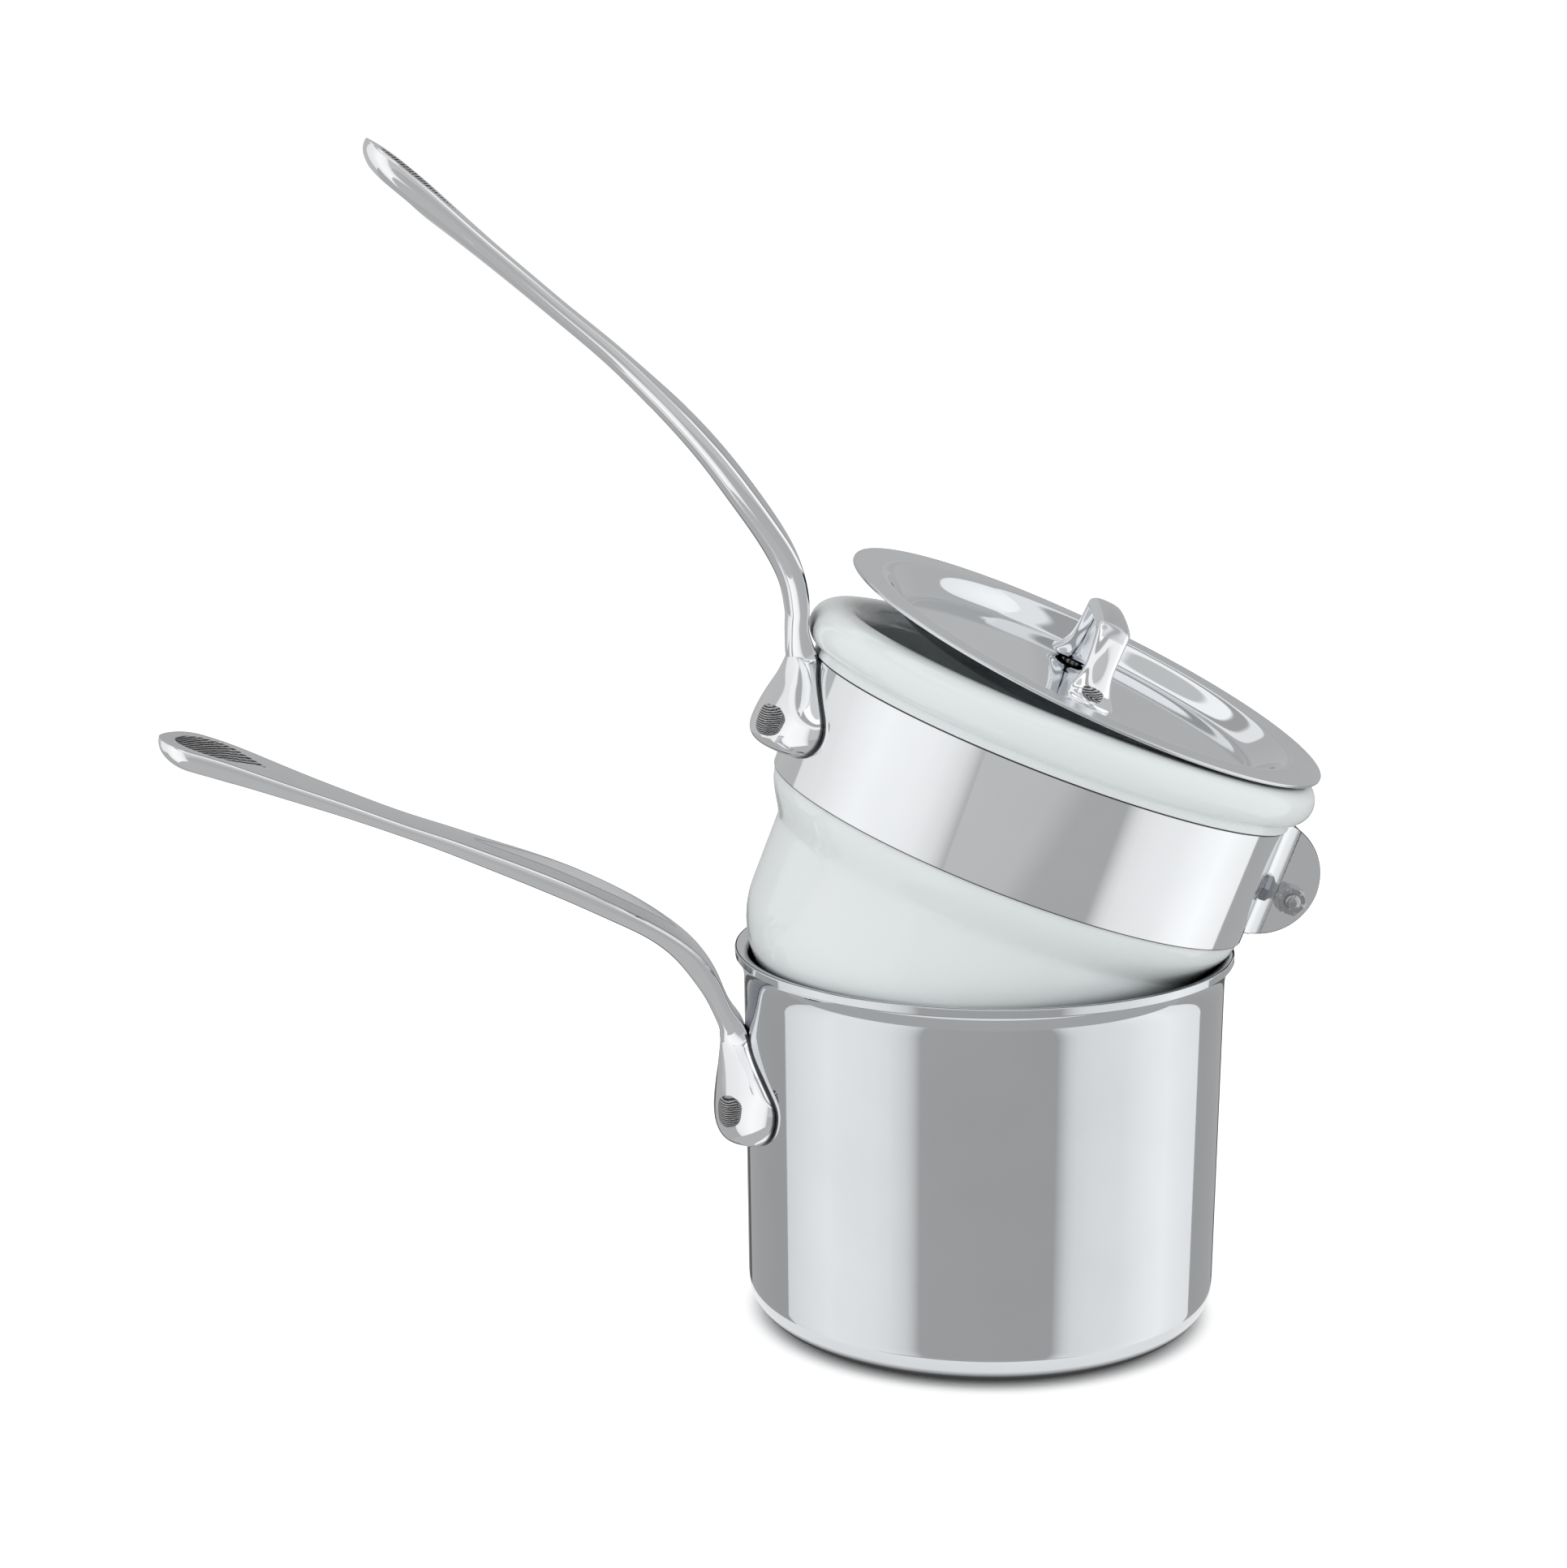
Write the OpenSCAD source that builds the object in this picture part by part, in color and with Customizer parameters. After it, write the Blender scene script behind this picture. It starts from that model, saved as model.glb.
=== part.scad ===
// Double boiler: a steel saucepan, a porcelain insert held in a steel clamp band, and a steel lid.
// The saucepan stands on z = 0 with its axis on Z. Both long handles point along -X.
// The insert and the lid lie cocked on the rims below them, as the object is shown.

/* [Saucepan] */
// Inner diameter of the straight wall
pan_inner_d = 140; // [120:1:180]
// Thickness of the wall and the floor
pan_wall = 2.4; // [1.5:0.1:4]
// Height from the table to the rim
pan_h = 113.6; // [90:0.1:160]
// How much smaller the radius is at the foot than under the lip
pan_draft = 1.9; // [0:0.1:4]
// Outer radius of the corner between wall and floor
pan_corner_r = 11.3; // [6:0.1:20]
// Radius under the flared lip
lip_r = 2.8; // [1:0.1:5]

/* [Porcelain insert] */
// Gap between the bowl and the straight wall of the saucepan
bowl_gap = 2.4; // [1:0.1:6]
// Depth of the bowl below the clamp band
bowl_depth = 66; // [45:1:90]
// Outer radius of the corner between the bowl's wall and floor
bowl_corner_r = 30; // [15:1:35]
// Thickness of the porcelain wall
bowl_wall = 5.4; // [4:0.1:7]
// How far the shoulder stands out from the bowl
shoulder_out = 6; // [4:0.1:8]
// Height of the shoulder below the band
shoulder_h = 14; // [8:0.5:18]
// Height of the plain ledge above the band
ledge_h = 1.8; // [1:0.1:4]
// Width of the rolled rim
roll_w = 15.6; // [12:0.1:18]
// Height of the rolled rim
roll_h = 14; // [11:0.5:17]
// How far the roll stands out from the band
roll_out = 5; // [3:0.1:8]

/* [Clamp band] */
// Height of the band
band_h = 35.7; // [28:0.1:45]
// Thickness of the band's sheet
band_t = 1.2; // [0.8:0.1:2]
// Depth of the relief behind the band, which takes the rivet heads
relief = 1.9; // [1.6:0.1:2.5]
// Distance between the two ears
ear_gap = 8.5; // [6:0.1:12]
// Outer radius of the bend from the band into an ear
ear_bend_r = 4; // [2:0.1:6]
// How far the ears stand out from the band
ear_reach = 18.5; // [15:0.5:24]

/* [Clamp bolt] */
// Diameter of the bolt
bolt_d = 5; // [4:0.5:6]
// Height of the bolt above the lower edge of the band
bolt_up = 14.2; // [12:0.1:20]
// Distance of the bolt from the outside of the band
bolt_out = 11; // [9:0.1:13]
// Width of the nut and the bolt head across their flats
hex_af = 8; // [7:0.1:10]
// Thickness of the nut and the bolt head
hex_t = 4; // [3:0.1:5]

/* [Lid] */
// Thickness of the lid's sheet
lid_t = 1.1; // [0.8:0.1:2]
// How far the lid reaches out over the crown of the rolled rim
lid_over = 4.4; // [1:0.1:6]
// Width of the flat flange
lid_flange_w = 9.2; // [6:0.1:14]
// Depth of the dish
lid_depth = 7; // [4:0.5:12]
// Width of the dish's sloping wall
lid_slope_w = 11; // [6:0.5:16]

/* [Lid handle] */
// Distance between the two lid rivets
strap_span = 63; // [50:1:80]
// Height of the strap over the lid's floor
strap_h = 24; // [18:0.5:32]
// Width of the strap's top
strap_w = 10.5; // [7:0.5:14]
// Thickness of the strap's top
strap_t = 4.8; // [3:0.1:7]
// Width of the round feet
foot_w = 14.5; // [10:0.5:18]
// Diameter of the lid rivets
lid_rivet_d = 6; // [4:0.5:7]

/* [Long handles] */
// Greatest width of the hanging end
end_w = 31; // [24:0.5:36]
// Width of the slimmest stretch
grip_w = 19.5; // [14:0.5:24]
// Width of the thumb rest
thumb_w = 28; // [20:0.5:34]
// Width of the flange on the vessel
flange_w = 59; // [48:1:64]
// Thickness of the saucepan handle's flange at its middle
pan_flange_t = 9.8; // [7:0.1:12]
// Thickness of the insert handle's flange at its middle
insert_flange_t = 11.3; // [8:0.1:13]
// Width of the eye in the hanging end
eye_w = 21; // [14:0.5:24]
// Length of the eye
eye_len = 27; // [24:0.5:32]
// Height of the saucepan's rivets above the table
pan_rivet_z = 68.7; // [60:0.1:74]
// Distance of the insert's rivets below the middle of the band
insert_rivet_down = 1.55; // [0:0.05:4]

/* [Rivets] */
// Diameter of the handle rivets
rivet_d = 9; // [6:0.5:10]
// Share of the flange's width that lies between the middles of its two rivets
rivet_span = 0.565; // [0.45:0.005:0.6]
// Diameter of the flat rivet heads inside the vessels
head_d = 13; // [11:0.5:16]
// Thickness of the flat rivet heads
head_t = 1.2; // [0.8:0.1:1.5]
// How far the rivet ends stand out past the thickest part of the flange
rivet_stand = 1.8; // [0.5:0.1:3]
// Clearance round rivets and bolts in their holes
hole_gap = 0.1; // [0.05:0.05:0.3]

/* [Resting place] */
// Lean of the insert in the saucepan's mouth
insert_lean = 20.3; // [0:0.1:22]
// Direction of the lean, measured from the side opposite the handles
lean_turn = -5; // [-10:1:10]
// Distance of the band's lower corner outside the lip
rest_out = 0.9; // [0:0.1:3]
// Height of the band's lower corner above the lip
rest_up = 4; // [3:0.1:8]
// Least gap between the leaning bowl's corner and the saucepan's wall
mouth_gap = 1.2; // [0.5:0.1:2]
// Lean of the lid on the insert
lid_lean = 5.8; // [0:0.1:8]
// Direction of the lid's lean, measured from the side opposite the handles
lid_turn = -52; // [-60:1:-44]
// Shift of the lid towards the lower side of the insert
lid_shift = 2.4; // [0:0.1:3]
// Gap between the lid and the roll where the lid comes lowest
lid_gap = 0.4; // [0.3:0.1:2]

/* [Hidden] */
$fn = 96;

steel = [0.72, 0.73, 0.75];
cast = [0.62, 0.63, 0.65];
porcelain = [0.93, 0.95, 0.95];
rough = [0.35, 0.35, 0.36];

// Saucepan radii
pan_in_r = pan_inner_d / 2;
pan_out_r = pan_in_r + pan_wall;
pan_foot_r = pan_out_r - pan_draft;
rim_r = pan_out_r + lip_r;
lip_z = pan_h - lip_r - pan_wall;

// Insert radii and heights, measured from the lower edge of the band
bowl_r = pan_in_r - bowl_gap;
band_in_r = bowl_r + shoulder_out - 0.7;
band_r = band_in_r + band_t;
ledge_r = band_r + 0.5;
relief_edge = 4;
roll_r = band_r + roll_out - roll_w / 2;
roll_z = band_h + ledge_h + roll_h / 2;
crown_z = roll_z + roll_h / 2;
bowl_in_r = roll_r - roll_w / 2;
insert_rivet_h = band_h / 2 - insert_rivet_down;

// Angle of each rivet from the handles' middle plane
rivet_angle = asin(rivet_span * flange_w / 2 / band_r);

// Where the insert's origin lies, and the top of the saucepan's straight wall seen from there
insert_x = rim_r + rest_out - band_r * cos(insert_lean);
insert_z = pan_h + rest_up + band_r * sin(insert_lean);
mouth_out = (pan_in_r + insert_x) * cos(insert_lean) + (lip_z - insert_z) * sin(insert_lean);
mouth_down = (pan_in_r + insert_x) * sin(insert_lean) - (lip_z - insert_z) * cos(insert_lean);

// A deeper bowl needs a rounder corner, to lean in the mouth with mouth_gap to spare
mouth_a = bowl_r - mouth_out;
mouth_b = bowl_depth - mouth_down;
mouth_s = mouth_a + mouth_b + mouth_gap;
corner_r = max(bowl_corner_r, mouth_s
    + sqrt(max(0, mouth_s * mouth_s - mouth_a * mouth_a - mouth_b * mouth_b + mouth_gap * mouth_gap)));

// Lid radii
lid_r = roll_r + lid_over;
lid_in_r = lid_r - lid_flange_w;
lid_floor_r = lid_in_r - lid_slope_w;

// Height of the middle of the lid's top above the roll's crown
lid_up = lid_gap + lid_t / cos(lid_lean) + (roll_r - lid_shift * cos(lid_turn)) * tan(lid_lean);

// Points on an arc from angle a to angle b
function arc(x, y, r, a, b, n = 8) =
    [for (i = [0 : n]) let (t = a + (b - a) * i / n) [x + r * cos(t), y + r * sin(t)]];

// Catmull-Rom value between b and c at u from 0 to 1
function blend(a, b, c, d, u) =
    (2 * b + (c - a) * u + (2 * a - 5 * b + 4 * c - d) * u * u
     + (3 * b - a - 3 * c + d) * u * u * u) / 2;

// Station number q, whole or broken, along a list
function at(list, q) =
    let (n = len(list) - 1, i = min(floor(q), n - 1), u = q - i)
    blend(list[max(i - 1, 0)], list[i], list[i + 1], list[min(i + 2, n)], u);

// Outer radius of the saucepan's wall at height z
function pan_r(z) = pan_foot_r + pan_draft * (z - pan_corner_r) / (lip_z - pan_corner_r);

// Outline of the saucepan, without its hollow
function pan_outline() = concat(
    [[0, 0]],
    arc(pan_foot_r - pan_corner_r, pan_corner_r, pan_corner_r, -90, 0),
    arc(rim_r, lip_z, lip_r, 180, 90, 6),
    [[rim_r, pan_h]]);

// The long handles. Each station is [out from the wall, up from the rivets, width, thickness,
// bow, fullness of the section]. A bow of -1 follows the wall and a positive one crowns the top.
pan_stations = [
    [169.8, 112.2, end_w * 0.8, 6.6, 0, 2.3],
    [163.1, 110.7, end_w, 7.3, 0, 2.3],
    [155, 108.2, end_w, 7.8, 0, 2.3],
    [145.9, 104.8, end_w * 0.93, 7.1, 0, 2.3],
    [129.9, 98.3, end_w * 0.77, 6, 0.1, 2.3],
    [114.9, 92.4, grip_w * 1.04, 5.3, 0.2, 2.3],
    [100.9, 87, grip_w, 5, 0.4, 2.3],
    [87.9, 82.6, grip_w * 1.04, 5.6, 0.6, 2.3],
    [75.9, 78.6, grip_w * 1.14, 6.5, 1, 2.3],
    [60.7, 73.6, thumb_w * 0.94, 7.6, 1.3, 2.3],
    [48, 68.5, thumb_w, 8, 1.4, 2.3],
    [36.8, 62.9, thumb_w, 7.8, 1.4, 2.3],
    [27.6, 57.3, thumb_w * 0.93, 7.2, 1.3, 2.3],
    [19.9, 51.4, thumb_w * 0.82, 7.1, 1, 2.3],
    [13.3, 44.7, thumb_w * 0.7, 7.4, 0.7, 2.3],
    [8.1, 36.2, thumb_w * 0.6, 6.8, 0.3, 2.3],
    [5, 28.6, thumb_w * 0.53, 5.9, 0, 2.2],
    [1.4, 23, thumb_w * 0.5, 7.5, -0.5, 2],
    [0, 17.9, thumb_w * 0.62, pan_flange_t * 0.81, -1, 1.6],
    [0, 13, flange_w * 0.58, pan_flange_t * 0.84, -1, 1.5],
    [0, 8, flange_w * 0.85, pan_flange_t * 0.89, -1, 1.7],
    [0, 3, flange_w, pan_flange_t * 0.95, -1, 2.1],
    [0, -3, flange_w * 0.97, pan_flange_t, -1, 2.4],
    [0, -8, flange_w * 0.82, pan_flange_t * 0.96, -1, 2.4],
    [0, -11.5, flange_w * 0.52, pan_flange_t * 0.78, -1, 2.4],
    [0, -13, flange_w * 0.1, pan_flange_t * 0.51, -1, 2.4]];

insert_stations = [
    [169.5, 113.8, end_w * 0.8, 6.4, 0, 2.3],
    [162.7, 112, end_w, 7.1, 0, 2.3],
    [154.6, 109.3, end_w, 8.2, 0, 2.3],
    [145.6, 105.9, end_w * 0.93, 7.3, 0, 2.3],
    [129.6, 99.6, end_w * 0.77, 6, 0.1, 2.3],
    [114.6, 94.1, grip_w * 1.04, 5.6, 0.2, 2.3],
    [100.5, 89.1, grip_w, 5.6, 0.4, 2.3],
    [86.3, 84.3, grip_w * 1.04, 6, 0.6, 2.3],
    [73.1, 79.3, grip_w * 1.14, 6.7, 1, 2.3],
    [58.6, 73.4, thumb_w * 0.94, 7.8, 1.3, 2.3],
    [46.2, 67.3, thumb_w, 8.6, 1.4, 2.3],
    [35.4, 60.7, thumb_w, 9, 1.4, 2.3],
    [25.1, 53.4, thumb_w * 0.93, 8.8, 1.3, 2.3],
    [16.9, 46.5, thumb_w * 0.82, 8.5, 1, 2.3],
    [10.8, 39, thumb_w * 0.7, 7.8, 0.7, 2.3],
    [7.2, 31.3, thumb_w * 0.6, 7, 0.3, 2.3],
    [5.7, 26.4, thumb_w * 0.53, 6.6, 0, 2.2],
    [2.4, 21.9, thumb_w * 0.5, 8.4, -0.4, 2],
    [0, 18.6, thumb_w * 0.55, insert_flange_t * 0.78, -0.8, 1.7],
    [0, 15, flange_w * 0.42, insert_flange_t * 0.76, -1, 1.5],
    [0, 10, flange_w * 0.68, insert_flange_t * 0.81, -1, 1.6],
    [0, 5, flange_w * 0.9, insert_flange_t * 0.89, -1, 1.9],
    [0, 0, flange_w * 0.97, insert_flange_t * 0.96, -1, 2.3],
    [0, -5, flange_w * 0.88, insert_flange_t, -1, 2.4],
    [0, -8.8, flange_w * 0.6, insert_flange_t * 0.9, -1, 2.4],
    [0, -10.6, flange_w * 0.12, insert_flange_t * 0.53, -1, 2.4]];

rings_per_station = 2;

// Ring of a handle: across the top at width steps, then back round the underside.
// The radius is that of the wall and lift the height of the rivets.
function handle_ring(list, q, wall_r, lift) =
    let (s = at(list, q),
         ahead = at(list, min(q + 0.05, len(list) - 1)),
         back = at(list, max(q - 0.05, 0)),
         dr = ahead[0] - back[0],
         dz = ahead[1] - back[1],
         long = norm([dr, dz]),
         up = [dz / long, -dr / long],
         tip = sqrt(max(0.06, 1 - pow(max(0, 1 - q / 1.6), 2))),
         half = s[2] / 2 * tip,
         t = s[3] * (0.35 + 0.65 * tip),
         bow = s[4] / (2 * wall_r))
    concat(
        [for (k = [-4 : 4]) let (y = half * k / 4)
            handle_point(s, up, y, -bow * y * y, wall_r, lift)],
        [for (k = [1 : 9]) let (a = k * 18, y = half * signed_power(cos(a), s[5]))
            handle_point(s, up, y, -bow * y * y - t * pow(sin(a), 2 / s[5]), wall_r, lift)]);

function signed_power(v, p) = sign(v) * pow(abs(v), 2 / p);

function handle_point(s, up, y, off, wall_r, lift) =
    [-(wall_r + s[0] + up[0] * off), y, lift + s[1] + up[1] * off];

// Solid swept along a handle's stations
module handle_sweep(list, wall_r, lift) {
    last = (len(list) - 1) * rings_per_station;
    rings = [for (i = [0 : last]) handle_ring(list, i / rings_per_station, wall_r, lift)];
    loft(rings);
}

// Closed solid through a list of rings with equal numbers of points
module loft(rings) {
    m = len(rings[0]);
    n = len(rings);
    centre_a = mean(rings[0]);
    centre_b = mean(rings[n - 1]);
    points = concat([for (r = rings) each r], [centre_a, centre_b]);
    sides = [for (i = [0 : n - 2], j = [0 : m - 1]) let (k = (j + 1) % m)
        each [[i * m + j, i * m + k, (i + 1) * m + k],
              [i * m + j, (i + 1) * m + k, (i + 1) * m + j]]];
    cap_a = [for (j = [0 : m - 1]) [n * m, (j + 1) % m, j]];
    cap_b = [for (j = [0 : m - 1]) [n * m + 1, (n - 1) * m + j, (n - 1) * m + (j + 1) % m]];
    polyhedron(points = points, faces = concat(sides, cap_a, cap_b), convexity = 6);
}

function mean(list) = [for (i = [0 : 2]) sum([for (p = list) p[i]]) / len(list)];
function sum(list, i = 0) = i == len(list) ? 0 : list[i] + sum(list, i + 1);

// Teardrop cut that makes the eye, pointing towards the vessel
module eye_cut(list, wall_r, lift) {
    q = 2;
    s = at(list, q);
    ahead = at(list, q + 0.5);
    slope = atan2(s[1] - ahead[1], s[0] - ahead[0]);
    r = eye_w / 2;
    point = eye_len - r;
    translate([-(wall_r + s[0]), 0, lift + s[1]]) rotate([0, slope, 0])
        linear_extrude(height = 40, center = true) {
            circle(r = r);
            polygon([[r * r / point, r * sqrt(1 - pow(r / point, 2))], [point, 0],
                     [r * r / point, -r * sqrt(1 - pow(r / point, 2))]]);
        }
}

// Puts a child that lies along X, root at the origin, on the left or right rivet's place
module at_rivet(side, height) {
    translate([0, 0, height]) rotate([0, 0, 180 + side * rivet_angle]) children();
}

// Rivet along X with the underside of its flat head at x = inner_r and its end at x = outer_r
module rivet(inner_r, outer_r, d, h_d, h_t) {
    dome = d * 0.12;
    rotate([0, 90, 0]) rotate_extrude()
        polygon(concat(
            [[0, inner_r - h_t], [h_d / 2 - 0.5, inner_r - h_t], [h_d / 2, inner_r - h_t + 0.5],
             [h_d / 2, inner_r], [d / 2, inner_r], [d / 2, outer_r - dome - 0.6]],
            [[d / 2 - 0.5, outer_r - dome], [d / 4, outer_r - dome * 0.25], [0, outer_r]]));
}

module rivet_hole(d) {
    rotate([0, 90, 0]) cylinder(d = d + 2 * hole_gap, h = rim_r * 2);
}

// Inner radius at which a flat rivet head just clears a curved wall
function head_seat(r) = sqrt(r * r - pow(head_d / 2, 2));

pan_rivet_in = head_seat(pan_r(pan_rivet_z - head_d / 2) - pan_wall);
pan_rivet_out = pan_r(pan_rivet_z) + pan_flange_t + rivet_stand;
insert_rivet_in = head_seat(band_in_r);
insert_rivet_out = band_r + insert_flange_t + rivet_stand;

module saucepan() {
    color(steel) difference() {
        rotate_extrude() polygon(concat(
            pan_outline(),
            arc(rim_r, lip_z, lip_r + pan_wall, 90, 180),
            arc(pan_foot_r - pan_corner_r, pan_corner_r, pan_corner_r - pan_wall, 0, -90),
            [[0, pan_wall]]));
        for (side = [-1, 1]) at_rivet(side, pan_rivet_z) rivet_hole(rivet_d);
    }
}

module saucepan_handle() {
    color(cast) difference() {
        handle_sweep(pan_stations, pan_r(pan_rivet_z), pan_rivet_z);
        eye_cut(pan_stations, pan_r(pan_rivet_z), pan_rivet_z);
        rotate_extrude() polygon(concat(pan_outline(), [[0, pan_h]]));
        for (side = [-1, 1]) at_rivet(side, pan_rivet_z) rivet_hole(rivet_d);
    }
}

module saucepan_rivet(side) {
    color(rough) at_rivet(side, pan_rivet_z)
        rivet(pan_rivet_in, pan_rivet_out, rivet_d, head_d, head_t);
}

// Places what is modelled level, from the lower edge of the band, where the insert rests
module place_insert() {
    rotate([0, 0, lean_turn]) translate([insert_x, 0, insert_z]) rotate([0, insert_lean, 0])
        rotate([0, 0, -lean_turn]) children();
}

module porcelain_insert() {
    land = relief_edge;
    floor_z = -bowl_depth + bowl_wall;
    inner_corner = corner_r - bowl_wall;
    color(porcelain) place_insert() rotate_extrude() difference() {
        polygon(concat(
            [[0, -bowl_depth]],
            arc(bowl_r - corner_r, corner_r - bowl_depth, corner_r, -90, 0, 10),
            shoulder(),
            [[band_in_r, 0], [band_in_r, land], [band_in_r - relief, land + relief],
             [band_in_r - relief, band_h - land - relief], [band_in_r, band_h - land],
             [band_in_r, band_h], [ledge_r - 0.5, band_h], [ledge_r, band_h + 0.5],
             [ledge_r, roll_z - roll_h / 2 + 1]],
            [for (a = [-50 : 12.5 : 175])
                [roll_r + roll_w / 2 * cos(a), roll_z + roll_h / 2 * sin(a)]],
            [[bowl_in_r, roll_z], [bowl_in_r, band_h]],
            [[0, band_h]]));
        polygon(concat(
            [[0, roll_z], [bowl_in_r, roll_z], [bowl_in_r, band_h]],
            [[bowl_r - bowl_wall, -shoulder_h]],
            arc(bowl_r - corner_r, corner_r - bowl_depth, inner_corner, 0, -90, 10),
            [[0, floor_z]]));
    }
}

// The shoulder rounds out from the bowl to the lower edge of the band
function shoulder() = concat(
    [[bowl_r, -shoulder_h]],
    [for (i = [1 : 6]) let (u = i / 6)
        [bowl_r + (shoulder_out - 0.2) * pow(sin(90 * u), 1.3), -shoulder_h * (1 - u)]]);

// Sector of the plane from angle a to angle b, out to radius r
module sector(r, a, b) {
    m = (a + b) / 2;
    polygon([[0, 0], r * [cos(a), sin(a)], r * 1.4 * [cos(m), sin(m)], r * [cos(b), sin(b)]]);
}

// One bend and ear of the band in plan, on the side of positive Y
module ear_plan() {
    outer_y = ear_gap / 2 + band_t;
    bend_y = outer_y + ear_bend_r;
    far = band_r + ear_bend_r;
    bend_x = sqrt(far * far - bend_y * bend_y);
    turn = atan2(bend_y, bend_x);
    seam = 0.3;
    translate([bend_x, bend_y]) intersection() {
        difference() {
            circle(r = ear_bend_r + band_t);
            circle(r = ear_bend_r);
        }
        sector(ear_bend_r * 3, 178 + turn, 270);
    }
    translate([bend_x - seam, ear_gap / 2])
        square([band_r + ear_reach + 1 - bend_x + seam, band_t]);
}

// Half of the ring of the band in plan, from the bend round to the handle side
module ring_plan() {
    outer_y = ear_gap / 2 + band_t;
    bend_y = outer_y + ear_bend_r;
    turn = asin(bend_y / (band_r + ear_bend_r));
    difference() {
        circle(r = band_r);
        circle(r = band_in_r);
        sector(band_r * 2, -turn, turn);
    }
}

module clamp_band() {
    ear_r = band_h / 2;
    cut_x = band_r + ear_reach - ear_r;
    color(steel) place_insert() difference() {
        linear_extrude(height = band_h) {
            ring_plan();
            ear_plan();
            mirror([0, 1]) ear_plan();
        }
        difference() {
            translate([cut_x, -ear_gap, -1]) cube([ear_r * 2, ear_gap * 2, band_h + 2]);
            translate([cut_x, 0, ear_r]) rotate([90, 0, 0])
                cylinder(r = ear_r, h = ear_gap * 3, center = true);
        }
        at_bolt() cylinder(d = bolt_d + 2 * hole_gap, h = ear_gap * 3, center = true);
        for (side = [-1, 1]) at_rivet(side, insert_rivet_h) rivet_hole(rivet_d);
    }
}

// Turns a child that stands on Z onto the bolt's line, with +Z towards the nut
module at_bolt() {
    translate([band_r + bolt_out, 0, bolt_up]) rotate([90, 0, 0]) children();
}

module hexagon(h) {
    cylinder(d = hex_af / cos(30), h = h, $fn = 6);
}

module clamp_bolt() {
    ear_face = ear_gap / 2 + band_t;
    tail = 2.2;
    color(steel) place_insert() at_bolt() {
        translate([0, 0, -ear_face]) cylinder(d = bolt_d, h = 2 * ear_face + hex_t + tail - 1);
        translate([0, 0, ear_face + hex_t + tail - 1]) intersection() {
            cylinder(d = bolt_d, h = 1);
            translate([0, 0, 1 - bolt_d * 0.75]) sphere(r = bolt_d * 0.75);
        }
        translate([0, 0, -ear_face - hex_t]) hexagon(hex_t);
    }
}

module clamp_nut() {
    ear_face = ear_gap / 2 + band_t;
    color(steel) place_insert() at_bolt() translate([0, 0, ear_face]) difference() {
        intersection() {
            hexagon(hex_t);
            cylinder(r1 = hex_af / 2 + hex_t, r2 = hex_af / 2, h = hex_t);
        }
        translate([0, 0, -1]) cylinder(d = bolt_d + 0.1, h = hex_t + 2);
    }
}

module insert_handle() {
    color(cast) place_insert() difference() {
        handle_sweep(insert_stations, band_r, insert_rivet_h);
        eye_cut(insert_stations, band_r, insert_rivet_h);
        translate([0, 0, -1]) cylinder(r = band_r, h = band_h + 4);
        for (side = [-1, 1]) at_rivet(side, insert_rivet_h) rivet_hole(rivet_d);
    }
}

module insert_rivet(side) {
    color(rough) place_insert() at_rivet(side, insert_rivet_h)
        rivet(insert_rivet_in, insert_rivet_out, rivet_d, head_d, head_t);
}

// Places what is modelled with the lid's top face at z = 0 where the lid rests
module place_lid() {
    place_insert() translate([lid_shift, 0, crown_z + lid_up])
        rotate([0, 0, lid_turn]) rotate([0, lid_lean, 0]) rotate([0, 0, -lid_turn]) children();
}

module lid() {
    color(steel) place_lid() difference() {
        rotate_extrude() polygon(concat(
            [[0, -lid_depth]],
            slope_line(0),
            [[lid_r - 0.3, 0], [lid_r, -0.3], [lid_r, -lid_t + 0.3], [lid_r - 0.3, -lid_t]],
            [for (i = [8 : -1 : 0]) slope_line(-lid_t)[i]],
            [[0, -lid_depth - lid_t]]));
        for (side = [-1, 1]) at_foot(side) cylinder(d = lid_rivet_d + 2 * hole_gap, h = 30, center = true);
    }
}

// The dish's wall falls from the flange to the floor in an S
function slope_line(dz) =
    [for (i = [0 : 8]) let (u = i / 8)
        [lid_floor_r + lid_slope_w * u, dz - lid_depth * (1 + cos(180 * u)) / 2]];

// Puts a child on the lid's floor at one foot of the strap
module at_foot(side) {
    rotate([0, 0, lean_turn]) translate([0, side * strap_span / 2, -lid_depth]) children();
}

// Stations of half of the strap: [along, height of its middle, width, thickness]
strap_half = [
    [-strap_span / 2 - foot_w * 0.5, 1.7, foot_w * 0.3, 2.6],
    [-strap_span / 2 - foot_w * 0.42, 1.9, foot_w * 0.62, 3.4],
    [-strap_span / 2 - foot_w * 0.18, 2.1, foot_w * 0.94, 4.2],
    [-strap_span / 2 + foot_w * 0.08, 2.6, foot_w * 0.98, 5],
    [-strap_span / 2 + foot_w * 0.3, 4.4, foot_w * 0.84, 6],
    [-strap_span / 2 + foot_w * 0.47, strap_h * 0.36, strap_w * 0.88, 6],
    [-strap_span / 2 + foot_w * 0.62, strap_h * 0.58, strap_w * 0.84, 5.6],
    [-strap_span / 2 + foot_w * 0.86, strap_h * 0.81, strap_w * 0.92, 5.2],
    [-strap_span / 4, strap_h - strap_t * 0.6, strap_w, strap_t],
    [-strap_span / 9, strap_h - strap_t * 0.5, strap_w, strap_t]];

// Height of the feet's tops over the lid's floor, and how far the lid rivets stand out of them
foot_top = 5.1;
lid_rivet_stand = 1.2;
strap_stations = concat(strap_half,
    [for (i = [len(strap_half) - 1 : -1 : 0]) [-strap_half[i][0], strap_half[i][1],
        strap_half[i][2], strap_half[i][3]]]);

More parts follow.
